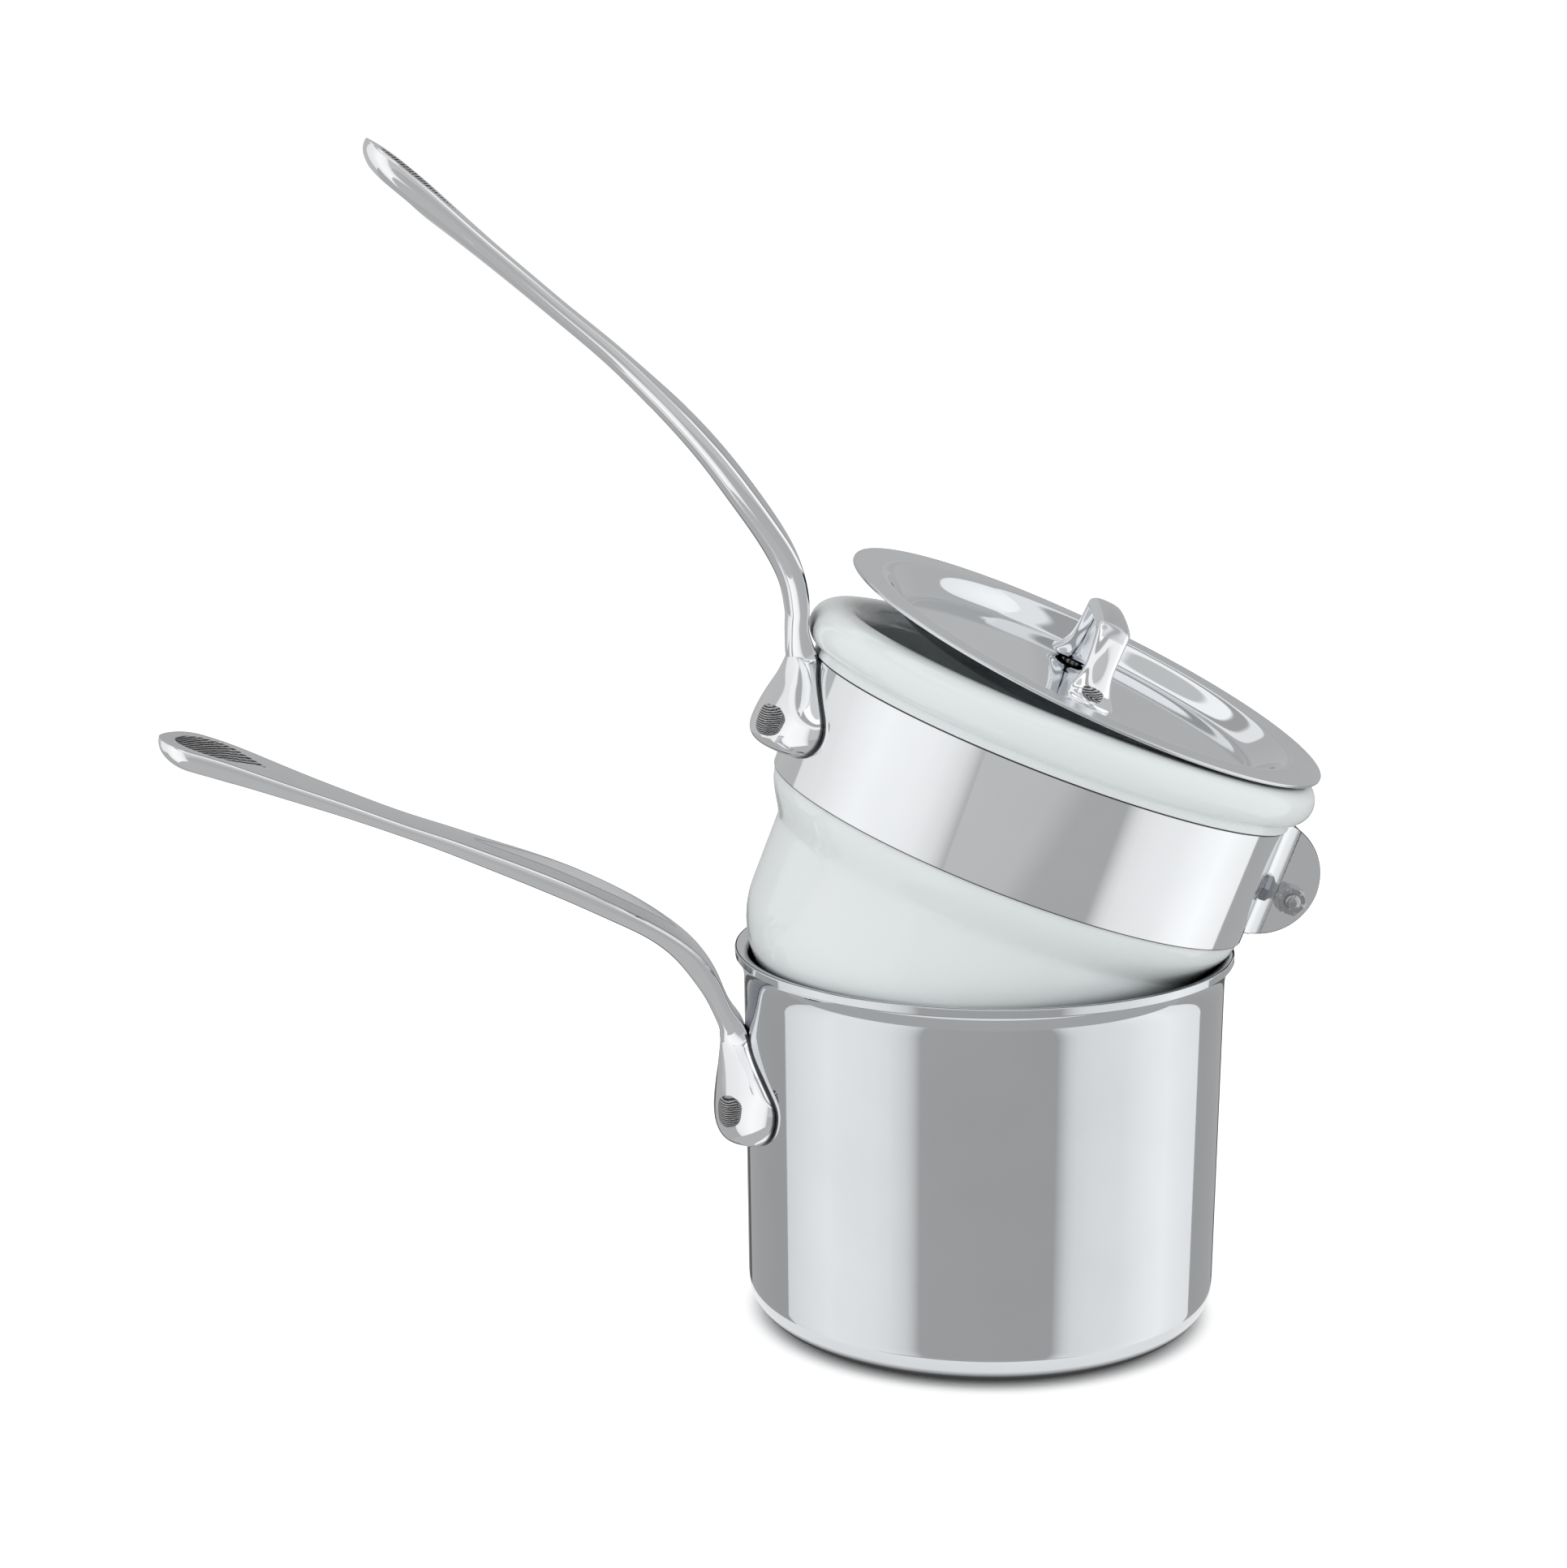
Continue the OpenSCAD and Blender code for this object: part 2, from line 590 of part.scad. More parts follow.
function strap_ring(q) =
    let (s = at(strap_stations, q),
         ahead = at(strap_stations, min(q + 0.05, len(strap_stations) - 1)),
         back = at(strap_stations, max(q - 0.05, 0)),
         along = (ahead - back) / norm([ahead[0] - back[0], ahead[1] - back[1]]))
    [for (k = [0 : 15]) let (a = -k * 22.5,
         x = s[2] / 2 * signed_power(cos(a), 2.6),
         n = s[3] / 2 * signed_power(sin(a), 2.6))
        [x, s[0] - along[1] * n, s[1] + along[0] * n]];

module lid_handle() {
    last = (len(strap_stations) - 1) * 2;
    color(cast) place_lid() difference() {
        rotate([0, 0, lean_turn]) translate([0, 0, -lid_depth])
            loft([for (i = [0 : last]) strap_ring(i / 2)]);
        translate([0, 0, -lid_depth - 10]) cylinder(r = lid_floor_r, h = 10);
        for (side = [-1, 1]) at_foot(side) cylinder(d = lid_rivet_d + 2 * hole_gap, h = 30, center = true);
    }
}

module lid_rivet(side) {
    color(rough) place_lid() at_foot(side) rotate([0, -90, 0])
        rivet(-lid_t, foot_top + lid_rivet_stand, lid_rivet_d, lid_rivet_d * 1.7, 1);
}

saucepan();
saucepan_handle();
saucepan_rivet(-1);  // saucepan_rivet_left
saucepan_rivet(1);  // saucepan_rivet_right
porcelain_insert();
clamp_band();
clamp_bolt();
clamp_nut();
insert_handle();
insert_rivet(-1);  // insert_rivet_left
insert_rivet(1);  // insert_rivet_right
lid();
lid_handle();
lid_rivet(-1);  // lid_rivet_front
lid_rivet(1);  // lid_rivet_back
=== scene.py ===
import bpy
import math
import numpy as np
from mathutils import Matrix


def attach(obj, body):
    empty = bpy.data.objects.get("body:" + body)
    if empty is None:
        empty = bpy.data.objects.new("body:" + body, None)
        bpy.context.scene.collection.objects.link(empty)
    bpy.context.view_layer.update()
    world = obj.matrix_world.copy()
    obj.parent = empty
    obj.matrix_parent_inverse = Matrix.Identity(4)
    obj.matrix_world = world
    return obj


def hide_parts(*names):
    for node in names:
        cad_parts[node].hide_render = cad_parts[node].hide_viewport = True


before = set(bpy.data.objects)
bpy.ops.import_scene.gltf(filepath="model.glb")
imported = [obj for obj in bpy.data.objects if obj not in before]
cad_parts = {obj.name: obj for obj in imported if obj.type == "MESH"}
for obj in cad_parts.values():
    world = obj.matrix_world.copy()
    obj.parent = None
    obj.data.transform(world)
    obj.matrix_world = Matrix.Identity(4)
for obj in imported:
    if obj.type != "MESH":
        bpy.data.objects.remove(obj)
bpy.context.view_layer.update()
print("frame loaded:", len(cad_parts), "nodes")

mm = 0.001  # the shapes are written in millimetres
sharpAngle = math.radians(34)  # edges that turn more than this stay sharp


# Places: 4 x 4 arrays that turn about an axis or move, applied right to left
def turned(axis, degrees):
    a, b = {"x": (1, 2), "y": (2, 0), "z": (0, 1)}[axis]
    c, s = math.cos(math.radians(degrees)), math.sin(math.radians(degrees))
    place = np.eye(4)
    place[a, a] = place[b, b] = c
    place[a, b], place[b, a] = -s, s
    return place


def moved(x, y, z):
    place = np.eye(4)
    place[:3, 3] = x, y, z
    return place


# Line with rounded corners: each corner [x, y, radius] becomes an arc that touches both sides,
# starting radius * tan(turn / 2) from the corner, with a point close to each end of a straight run
def roundedLine(corners, steps=8):
    pts = np.array([c[:2] for c in corners], float)
    out = [pts[:1]]
    for k in range(1, len(corners) - 1):
        before, after = pts[k - 1] - pts[k], pts[k + 1] - pts[k]
        before, after = before / np.linalg.norm(before), after / np.linalg.norm(after)
        turn = math.pi - math.acos(float(np.clip(before @ after, -1, 1)))
        r = corners[k][2]
        if r <= 0 or turn < 1e-4:
            out.append(pts[k:k + 1])
            continue
        reach = r * math.tan(turn / 2)
        middle = (before + after) / np.linalg.norm(before + after)
        centre = pts[k] + middle * r / math.cos(turn / 2)
        a, b = pts[k] + before * reach - centre, pts[k] + after * reach - centre
        t = np.linspace(0, 1, max(3, int(steps * turn / 1.57 * (1 + r / 8))) + 1)[:, None]
        arc = (np.sin((1 - t) * turn) * a + np.sin(t * turn) * b) / math.sin(turn)
        guard = min(0.5, reach * 0.3 + 0.05)
        out.append(np.vstack([centre + a + before * guard, centre + arc, centre + b + after * guard]))
    out.append(pts[-1:])
    return np.vstack(out)


# Surface of revolution: x = r cos t, y = r sin t, z = h, for each (r, h) of the line
def spun(line, turns=192):
    t = np.linspace(0, 2 * np.pi, turns, endpoint=False)
    r, h = line[:, 0], line[:, 1]
    return np.stack([np.outer(r, np.cos(t)), np.outer(r, np.sin(t)), np.repeat(h[:, None], turns, 1)], -1)


# Natural cubic spline through evenly spaced rows, read at q: the bends m solve
# m[i-1] + 4 m[i] + m[i+1] = 6 (p[i-1] - 2 p[i] + p[i+1])
def splineAt(rows, q):
    rows = np.asarray(rows, float)
    n = len(rows)
    system, side = np.eye(n), np.zeros_like(rows)
    inner = np.arange(1, n - 1)
    system[inner, inner - 1] = system[inner, inner + 1] = 1
    system[inner, inner] = 4
    side[inner] = 6 * (rows[inner - 1] - 2 * rows[inner] + rows[inner + 1])
    m = np.linalg.solve(system, side)
    q = np.clip(q, 0, n - 1)
    i = np.minimum(q.astype(int), n - 2)
    u = (q - i)[:, None]
    return (m[i] * (1 - u) ** 3 + m[i + 1] * u ** 3) / 6 \
        + (rows[i] - m[i] / 6) * (1 - u) + (rows[i + 1] - m[i + 1] / 6) * u


# Faces between neighbouring rows of a grid of points. Closed columns form rings.
def gridQuads(rows, cols, closed=True):
    i = np.arange(rows - 1)[:, None] * cols
    j = np.arange(cols if closed else cols - 1)[None]
    k = (j + 1) % cols
    return np.stack([i + j, i + k, i + cols + k, i + cols + j], -1).reshape(-1, 4)


# Closed mesh from a grid of rings, with its first and last ring closed to their middles. The faces
# turn outward when the volume, the sum of a . (b x c) / 6 over all triangles, is positive.
def closedMesh(name, grid, place):
    rows, cols = grid.shape[:2]
    pts = np.vstack([grid.reshape(-1, 3), grid[0].mean(0), grid[-1].mean(0)])
    pts = (pts @ place[:3, :3].T + place[:3, 3]) * mm
    quads = gridQuads(rows, cols)
    a, b = np.arange(cols), (np.arange(cols) + 1) % cols
    last, middle = (rows - 1) * cols, np.full(cols, rows * cols)
    caps = np.vstack([np.stack([middle, b, a], -1), np.stack([middle + 1, last + a, last + b], -1)])
    tris = np.vstack([quads[:, [0, 1, 2]], quads[:, [0, 2, 3]], caps])
    volume = np.einsum("ij,ij->", pts[tris[:, 0]], np.cross(pts[tris[:, 1]], pts[tris[:, 2]])) / 6
    faces = quads.tolist() + caps.tolist()
    if volume < 0:
        faces = [face[::-1] for face in faces]
    mesh = bpy.data.meshes.new(name)
    mesh.from_pydata(pts.tolist(), [], faces)
    return mesh


def addObject(name, mesh):
    added = bpy.data.objects.new(name, mesh)
    bpy.context.scene.collection.objects.link(added)
    return added


# Piece of the object: a smooth closed mesh with a material, and marks for the material to read
def makePiece(name, grid, place, body, nodes, material, marks=None):
    mesh = closedMesh(name, grid, place)
    mesh.polygons.foreach_set("use_smooth", np.ones(len(mesh.polygons), bool))
    mesh.set_sharp_from_angle(angle=sharpAngle)
    for key, values in (marks or {}).items():
        layer = mesh.attributes.new(key, "FLOAT", "POINT")
        flat = np.broadcast_to(values, grid.shape[:2]).reshape(-1)
        layer.data.foreach_set("value", np.append(flat, [flat[0], flat[-1]]).astype(np.float32))
    mesh.materials.append(material)
    mesh.update()
    piece = addObject(name, mesh)
    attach(piece, body)
    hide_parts(*nodes)
    return piece


# A socket takes a value, or a link when the source is another socket
def feed(tree, socket, source):
    if isinstance(source, bpy.types.NodeSocket):
        tree.links.new(source, socket)
    else:
        socket.default_value = source


# Node with its settings, and then its sockets by name or number
def addNode(tree, kind, sockets=None, **settings):
    node = tree.nodes.new(kind)
    for key, value in settings.items():
        setattr(node, key, value)
    for key, source in (sockets or {}).items():
        feed(tree, node.inputs[key], source)
    return node


# Noise from 0 to 1, finer where the scale is larger
def noise(tree, coords, scale, detail, roughness=0.5):
    sockets = {"Vector": coords, "Scale": scale, "Detail": detail, "Roughness": roughness}
    return addNode(tree, "ShaderNodeTexNoise", sockets).outputs["Fac"]


# Value carried from one range to another
def mapped(tree, source, low, high, fromLow=0.0, fromHigh=1.0, **settings):
    sockets = {"Value": source, "From Min": fromLow, "From Max": fromHigh, "To Min": low, "To Max": high}
    return addNode(tree, "ShaderNodeMapRange", sockets, **settings).outputs["Result"]


# The Mix node's two inputs and its output, for each kind
mixSockets = {"FLOAT": (2, 3, 0), "RGBA": (6, 7, 2)}


# a * (1 - factor) + b * factor, or another blend of the two
def mixed(tree, kind, factor, a, b, blend="MIX"):
    first, second, out = mixSockets[kind]
    return addNode(tree, "ShaderNodeMix", {0: factor, first: a, second: b},
                   data_type=kind, blend_type=blend).outputs[out]


# Colour times each of some values
def dimmed(tree, color, *values):
    for value in values:
        color = mixed(tree, "RGBA", 1.0, color, value, "MULTIPLY")
    return color


# Result of a maths node
def combined(tree, operation, *values):
    return addNode(tree, "ShaderNodeMath", dict(enumerate(values)), operation=operation).outputs[0]


# Colour ramp between two stops of (position, colour)
def ramp(tree, source, *stops):
    node = addNode(tree, "ShaderNodeValToRGB", {"Fac": source})
    for element, (position, color) in zip(node.color_ramp.elements, stops):
        element.position, element.color = position, (*color, 1)
    return node.outputs["Color"]


# New material with its node tree and its shader
def newMaterial(name):
    mat = bpy.data.materials.new(name)
    mat.use_nodes = True
    return mat, mat.node_tree, mat.node_tree.nodes["Principled BSDF"]


def objectCoords(tree):
    return addNode(tree, "ShaderNodeTexCoord").outputs["Object"]


# Colour, roughness and relief of a shader
def dress(tree, shader, color, roughness, height, strength, depth):
    relief = addNode(tree, "ShaderNodeBump", {"Strength": strength, "Distance": depth, "Height": height})
    feed(tree, shader.inputs["Base Color"], color)
    feed(tree, shader.inputs["Roughness"], roughness)
    feed(tree, shader.inputs["Normal"], relief.outputs["Normal"])


# Steel finish: colour and roughness go from polished to satin with the mask, cloudy and fine noise
# vary both, and the marked lines are darkened as painted shade. Height = grain * (0.92 mask + 0.08).
def steelFinishGroup():
    g = bpy.data.node_groups.new("steelFinish", "ShaderNodeTree")
    for name, kind in (("Vector", "Vector"), ("Polished", "Color"), ("Satin", "Color"), ("Mask", "Float"),
                       ("Painted shade line", "Float"), ("Gloss roughness", "Float"), ("Satin roughness", "Float"),
                       ("Grain scale", "Float")):
        g.interface.new_socket(name, in_out="INPUT", socket_type="NodeSocket" + kind)
    for name, kind in (("Color", "Color"), ("Roughness", "Float"), ("Height", "Float")):
        g.interface.new_socket(name, in_out="OUTPUT", socket_type="NodeSocket" + kind)
    given = addNode(g, "NodeGroupInput").outputs
    cloud = noise(g, given["Vector"], 38.0, 3.0)
    grain = noise(g, given["Vector"], given["Grain scale"], 4.0, 0.65)
    tone = mixed(g, "RGBA", given["Mask"], given["Polished"], given["Satin"])
    rough = mixed(g, "FLOAT", given["Mask"], given["Gloss roughness"], given["Satin roughness"])
    # The line mark darkens the colour down to a tenth: painted shade along edges and round the scoop
    addNode(g, "NodeGroupOutput", {
        "Color": dimmed(g, tone, mapped(g, cloud, 0.95, 1.04), mapped(g, given["Painted shade line"], 1.0, 0.1)),
        "Roughness": combined(g, "MULTIPLY", rough, mapped(g, grain, 0.75, 1.3)),
        "Height": combined(g, "MULTIPLY", combined(g, "MULTIPLY_ADD", given["Mask"], 0.92, 0.08), grain)})
    return g


steelFinish = steelFinishGroup()


def steelMaterial(name, look):
    mat, tree, shader = newMaterial(name)
    shader.inputs["Metallic"].default_value = 1.0
    # the second attribute marks where painted shade lines darken the colour
    satin, paintedShadeLine = [addNode(tree, "ShaderNodeAttribute", attribute_name=key).outputs["Fac"]
                     for key in ("satin", "paintedShadeLine")]
    finish = addNode(tree, "ShaderNodeGroup", {
        "Vector": objectCoords(tree), "Mask": satin, "Painted shade line": paintedShadeLine,
        "Polished": (*look["polished"], 1), "Satin": (*look["satin"], 1),
        "Gloss roughness": look["gloss"], "Satin roughness": look["dull"],
        "Grain scale": look["grain"]}, node_tree=steelFinish).outputs
    dress(tree, shader, finish["Color"], finish["Roughness"], finish["Height"], look["bump"], 0.0002)
    return mat


# Rough steel: mottled rough-cast colour, with hatched ridges from a bent wave and grit from noise; their low
# parts are painted near black as painted shade in the grooves
def roughMaterial(name, look):
    mat, tree, shader = newMaterial(name)
    shader.inputs["Metallic"].default_value = 1.0
    coords = objectCoords(tree)
    hatch = addNode(tree, "ShaderNodeTexWave", {
        "Vector": coords, "Scale": look["ridges"], "Distortion": 2.2, "Detail": 3.0,
        "Detail Scale": 2.0}, bands_direction="Z").outputs["Fac"]
    grit = noise(tree, coords, 2600.0, 4.0, 0.7)
    both = mixed(tree, "FLOAT", 0.55, hatch, grit)
    # the ramp paints the low parts of the hatch and grit near black: painted shade in the grooves
    color = ramp(tree, both, (0.38, look["dark"]), (0.66, look["light"]))
    dress(tree, shader, color, mapped(tree, grit, 0.28, 0.6), both, look["bump"], 0.0004)
    return mat


# Glaze: a cool white that drifts slightly, a few pin specks, painted shade in narrow gaps, and a
# faint orange-peel relief
def glazeMaterial(name, look):
    mat, tree, shader = newMaterial(name)
    shader.inputs["IOR"].default_value = 1.52
    coords = objectCoords(tree)
    drift = noise(tree, coords, 14.0, 2.0)
    cells = addNode(tree, "ShaderNodeTexVoronoi", {"Vector": coords, "Scale": 60.0}).outputs["Distance"]
    # Ambient occlusion darkens the glaze colour in narrow gaps: painted shade
    paintedGapShade = addNode(tree, "ShaderNodeAmbientOcclusion", {"Distance": look["gap"]}).outputs["AO"]
    color = dimmed(tree, ramp(tree, drift, (0, look["cool"]), (1, look["white"])),
                   mapped(tree, cells, 0.7, 1.0, 0.012, 0.02),
                   mapped(tree, paintedGapShade, 0.12, 1.0, 0.12, 0.5, interpolation_type="SMOOTHSTEP"))
    peel = noise(tree, coords, 220.0, 1.0)
    dress(tree, shader, color, mapped(tree, drift, 0.05, 0.11), peel, 0.06, 0.0002)
    return mat


# Materials. Gloss and dull are the roughness of the polished and of the satin surface.
polishedSteel = steelMaterial("polishedSteel", {
    "polished": (0.70, 0.72, 0.742), "satin": (0.60, 0.61, 0.625), "gloss": 0.045, "dull": 0.26,
    "grain": 900.0, "bump": 0.10})
bandSteel = steelMaterial("bandSteel", {
    "polished": (0.83, 0.847, 0.866), "satin": (0.70, 0.715, 0.73), "gloss": 0.055, "dull": 0.26,
    "grain": 900.0, "bump": 0.10})
lidSteel = steelMaterial("lidSteel", {
    "polished": (0.77, 0.79, 0.81), "satin": (0.69, 0.708, 0.73), "gloss": 0.05, "dull": 0.2,
    "grain": 1500.0, "bump": 0.06})
castSteel = steelMaterial("castSteel", {
    "polished": (0.90, 0.912, 0.93), "satin": (0.68, 0.694, 0.715), "gloss": 0.06, "dull": 0.22,
    "grain": 2400.0, "bump": 0.05})
boltSteel = steelMaterial("boltSteel", {
    "polished": (0.45, 0.46, 0.475), "satin": (0.4, 0.4, 0.41), "gloss": 0.07, "dull": 0.35,
    "grain": 1600.0, "bump": 0.2})
rivetSteel = roughMaterial("rivetSteel", {
    "dark": (0.03, 0.03, 0.03), "light": (0.62, 0.62, 0.63), "ridges": 500.0, "bump": 0.9})
# eyeSteel lines the inside of the eye, its grooves painted dark as shade
eyeSteel = roughMaterial("eyeSteel", {
    "dark": (0.05, 0.05, 0.05), "light": (0.55, 0.55, 0.56), "ridges": 480.0, "bump": 0.9})
# gap is how far the painted shade in narrow gaps reaches
glaze = glazeMaterial("glaze", {"white": (0.825, 0.855, 0.86), "cool": (0.77, 0.82, 0.83), "gap": 0.03})
print("materials made")

# Saucepan. seatRadius is the solid's lip, a little wider than this one, which the insert is placed on
pan = {"radius": 71.9, "footRadius": 70.5, "height": 113.6, "wall": 2.4, "corner": 11.3, "lip": 2.6,
       "edge": 0.4, "flareFrom": 103, "flareTo": 111.2, "flarePower": 2.8, "seatRadius": 75.2,
       "rivetHeight": 68.7}
panSlope = (pan["radius"] - pan["footRadius"]) / (pan["flareTo"] - pan["lip"] - pan["corner"])


# Radius of the pan's outside at height z, a straight taper
def panRadius(z):
    return pan["footRadius"] + panSlope * (z - pan["corner"])


# Flare under the lip: r = wall + lip * u^power, for u from 0 to 1 between its two heights
def flareLine(steps=22):
    u = np.linspace(0, 1, steps + 1)
    z = pan["flareFrom"] + (pan["flareTo"] - pan["flareFrom"]) * u
    return np.stack([panRadius(pan["flareFrom"]) + pan["lip"] * u ** pan["flarePower"], z], -1)


panRim = panRadius(pan["flareFrom"]) + pan["lip"]
panLine = np.vstack([
    roundedLine([[2, 0, 0], [panRadius(0), 0, pan["corner"]],
                 [panRadius(pan["flareFrom"] - 1), pan["flareFrom"] - 1, 0]], 14),
    flareLine(),
    roundedLine([[panRim + 0.1, pan["flareTo"] + 0.1, 0], [panRim + 0.2, pan["height"], pan["edge"]],
                 [panRadius(pan["height"]) - pan["wall"], pan["height"], pan["lip"] + pan["wall"] - 0.7],
                 [panRadius(0) - pan["wall"], pan["wall"], pan["corner"] - pan["wall"]],
                 [2, pan["wall"], 0]])])
makePiece("panVessel", spun(panLine), np.eye(4), "saucepan_body", ["saucepan"],
          polishedSteel)
print("saucepan made")

# Where the insert and the lid lie
lean = {"insert": 20.3, "turn": -5, "out": 0.9, "up": 4, "lid": 5.8, "lidTurn": -52, "lidShift": 2.4}
band = {"radius": 74.1, "sheet": 1.2, "height": 35.7, "earGap": 8.5, "bend": 7.5, "reach": 18.46,
        "edge": 0.25}
insertPlace = turned("z", lean["turn"]) @ moved(
    pan["seatRadius"] + lean["out"] - band["radius"] * math.cos(math.radians(lean["insert"])), 0,
    pan["height"] + lean["up"] + band["radius"] * math.sin(math.radians(lean["insert"]))) \
    @ turned("y", lean["insert"]) @ turned("z", -lean["turn"])

# Porcelain insert, heights from the lower edge of the band
bowl = {"radius": 67.6, "depth": 66, "corner": 30, "wall": 5.4, "shoulderOut": 6, "shoulderHeight": 14,
        "ledge": 1.8, "rollWidth": 15.6, "rollHeight": 14, "rollOut": 4.99}
rollRadius = band["radius"] + bowl["rollOut"] - bowl["rollWidth"] / 2
rollHeight = band["height"] + bowl["ledge"] + bowl["rollHeight"] / 2
crown = rollHeight + bowl["rollHeight"] / 2
bowlMouth = rollRadius - bowl["rollWidth"] / 2


# Shoulder: r = bowl + out * sin(90 u)^1.3 and h = -height * (1 - u), for u from 0 to 1
def shoulderLine(steps=18):
    u = np.linspace(0, 1, steps + 1)
    r = bowl["radius"] + (bowl["shoulderOut"] - 0.2) * np.sin(u * np.pi / 2) ** 1.3
    return np.stack([r, -bowl["shoulderHeight"] * (1 - u)], -1)


# Roll: an ellipse from angle a to angle b
def rollLine(a, b, steps=40):
    t = np.radians(np.linspace(a, b, steps + 1))
    return np.stack([rollRadius + bowl["rollWidth"] / 2 * np.cos(t),
                     rollHeight + bowl["rollHeight"] / 2 * np.sin(t)], -1)


beltRadius = band["radius"] - band["sheet"]
outside = roundedLine([[2, -bowl["depth"], 0], [bowl["radius"], -bowl["depth"], bowl["corner"]],
                       [bowl["radius"], -bowl["shoulderHeight"] - 2, 0]], 14)
innerRadius, innerFloor = bowl["radius"] - bowl["wall"], -bowl["depth"] + bowl["wall"]
inside = roundedLine([[bowlMouth, rollHeight - 1, 0], [bowlMouth, band["height"] - 4, 20],
                      [innerRadius, -bowl["shoulderHeight"], 30],
                      [innerRadius, innerFloor, bowl["corner"] - bowl["wall"]], [2, innerFloor, 0]], 14)
bowlLine = np.vstack([
    outside, shoulderLine(),
    roundedLine([[beltRadius, 0.2, 0], [beltRadius - 0.1, band["height"] + 0.1, 0],
                 [band["radius"] + 0.5, band["height"] + 0.1, 0.5],
                 [band["radius"] + 0.5, rollHeight - bowl["rollHeight"] / 2 + 1, 0]]),
    rollLine(-50, 178), inside])
makePiece("glazedInsert", spun(bowlLine), insertPlace, "insert_body", ["porcelain_insert"],
          glaze)
print("porcelain insert made")


# Clamp band in plan, the middle of its sheet: ear, bend, ring, bend, ear. The bend's circle
# touches the ring outside and the ear's outer face
def bandPath():
    half = band["sheet"] / 2
    bendY = band["earGap"] / 2 + band["sheet"] + band["bend"]
    bendX = math.sqrt((band["radius"] + band["bend"]) ** 2 - bendY ** 2)
    turn = math.atan2(bendY, bendX)
    tip = band["radius"] + band["reach"]
    earStart = tip - band["height"] / 2
    w = np.linspace(0, 1, 28)[:, None] * np.pi / 2
    ear = np.hstack([earStart + (tip - earStart) * np.cos(w), 0 * w + band["earGap"] / 2 + half])
    flat = np.array([[bendX + 0.4, band["earGap"] / 2 + half]])
    t = np.linspace(1.5 * np.pi, np.pi + turn, 28)[:, None]
    bend = np.hstack([bendX + (band["bend"] + half) * np.cos(t), bendY + (band["bend"] + half) * np.sin(t)])
    t = np.linspace(turn, np.pi, 110)[1:, None]
    ring = np.hstack([np.cos(t), np.sin(t)]) * (band["radius"] - half)
    side = np.vstack([ear, flat, bend, ring])
    return np.vstack([side, side[-2::-1] * [1, -1]])


# Band: a rounded rectangle carried along the path. Its height follows the half-round ears,
# half height = ear radius * sqrt(1 - ((x - start) / ear radius)^2), and at least 0.02 of the ear
# radius at the tips. The rounded cut edges are marked for painted shade lines.
def bandGrid():
    path = bandPath()
    along = np.gradient(path, axis=0)
    along /= np.linalg.norm(along, axis=1)[:, None]
    out = np.stack([along[:, 1], -along[:, 0]], -1)
    earR = band["height"] / 2
    x = (path[:, 0] - (band["radius"] + band["reach"] - earR)) / earR
    inEar = (np.abs(path[:, 1]) < band["earGap"] / 2 + band["sheet"]) & (x > 0)
    half = np.where(inEar, earR * np.sqrt(np.clip(1 - np.clip(x, 0, 1) ** 2, 0.0004, 1)), earR)
    e = band["edge"]
    t = band["sheet"] / 2
    loop = roundedLine([[0, 1, 0], [t, 1, e], [t, -1, e], [-t, -1, e], [-t, 1, e], [0, 1, 0]], 4)[:-1]
    level = loop[None, :, 1]
    inset = 1 - np.abs(level)
    z = earR + np.where(np.abs(level) > 0.5, np.sign(level) * (half[:, None] - inset), level * half[:, None])
    xy = path[:, None, :] + out[:, None, :] * loop[None, :, :1]
    # the mark on the rounded edges paints a dark shade line there
    return np.concatenate([xy, z[..., None]], -1), {"paintedShadeLine": (inset < e + 0.01) * 1.0}


bandPoints, bandMarks = bandGrid()
makePiece("steelBand", bandPoints, insertPlace, "insert_body", ["clamp_band"], bandSteel,
          bandMarks)

# Bolt and nut
bolt = {"diameter": 5, "up": 14.2, "out": 11, "flats": 8, "thick": 4, "tail": 2.2, "face": 0.97,
        "cone": 1.9}
boltPlace = insertPlace @ moved(band["radius"] + bolt["out"], 0, bolt["up"]) @ turned("x", 90)
earFace = band["earGap"] / 2 + band["sheet"]


# Hexagon with chamfered corners: r = flats / 2 / cos(angle from the middle of the nearest flat),
# but never outside a cone at the ends, flats / 2 * face + cone * (distance from the end)
def hexGrid(low, high, bore, turns=144):
    t = np.linspace(0, 2 * np.pi, turns, endpoint=False)
    flat = bolt["flats"] / 2 / np.cos((t % (np.pi / 3)) - np.pi / 6)
    corner = bolt["flats"] / 2 / math.cos(math.pi / 6)
    h = np.array([low, low, low + 0.35, low + 0.8, (low + high) / 2, high - 0.8, high - 0.35, high, high])
    near = np.minimum(h - low, high - h)
    cap = bolt["flats"] / 2 * bolt["face"] + near * bolt["cone"]
    r = np.minimum(flat[None], np.minimum(cap, corner)[:, None])
    r[0], r[-1] = bore, bore
    return np.stack([r * np.cos(t), r * np.sin(t), np.repeat(h[:, None], turns, 1)], -1)


tailEnd = earFace + bolt["thick"] + bolt["tail"]
boltLine = roundedLine([[0.3, -earFace - 0.5, 0], [bolt["diameter"] / 2, -earFace - 0.5, 0],
                        [bolt["diameter"] / 2, tailEnd - 0.9, 1.2], [1.4, tailEnd - 0.1, 1.6],
                        [0.2, tailEnd, 0]], 8)
makePiece("clampBoltShank", spun(boltLine, 48), boltPlace, "insert_body", ["clamp_bolt"],
          boltSteel)
makePiece("clampBoltHead", hexGrid(-earFace - bolt["thick"], -earFace, 0.3), boltPlace, "insert_body",
          ["clamp_bolt"], boltSteel)
makePiece("clampNutHex", hexGrid(earFace, earFace + bolt["thick"], bolt["diameter"] / 2 - 0.05), boltPlace,
          "insert_body", ["clamp_nut"], boltSteel)
print("clamp band, bolt and nut made")

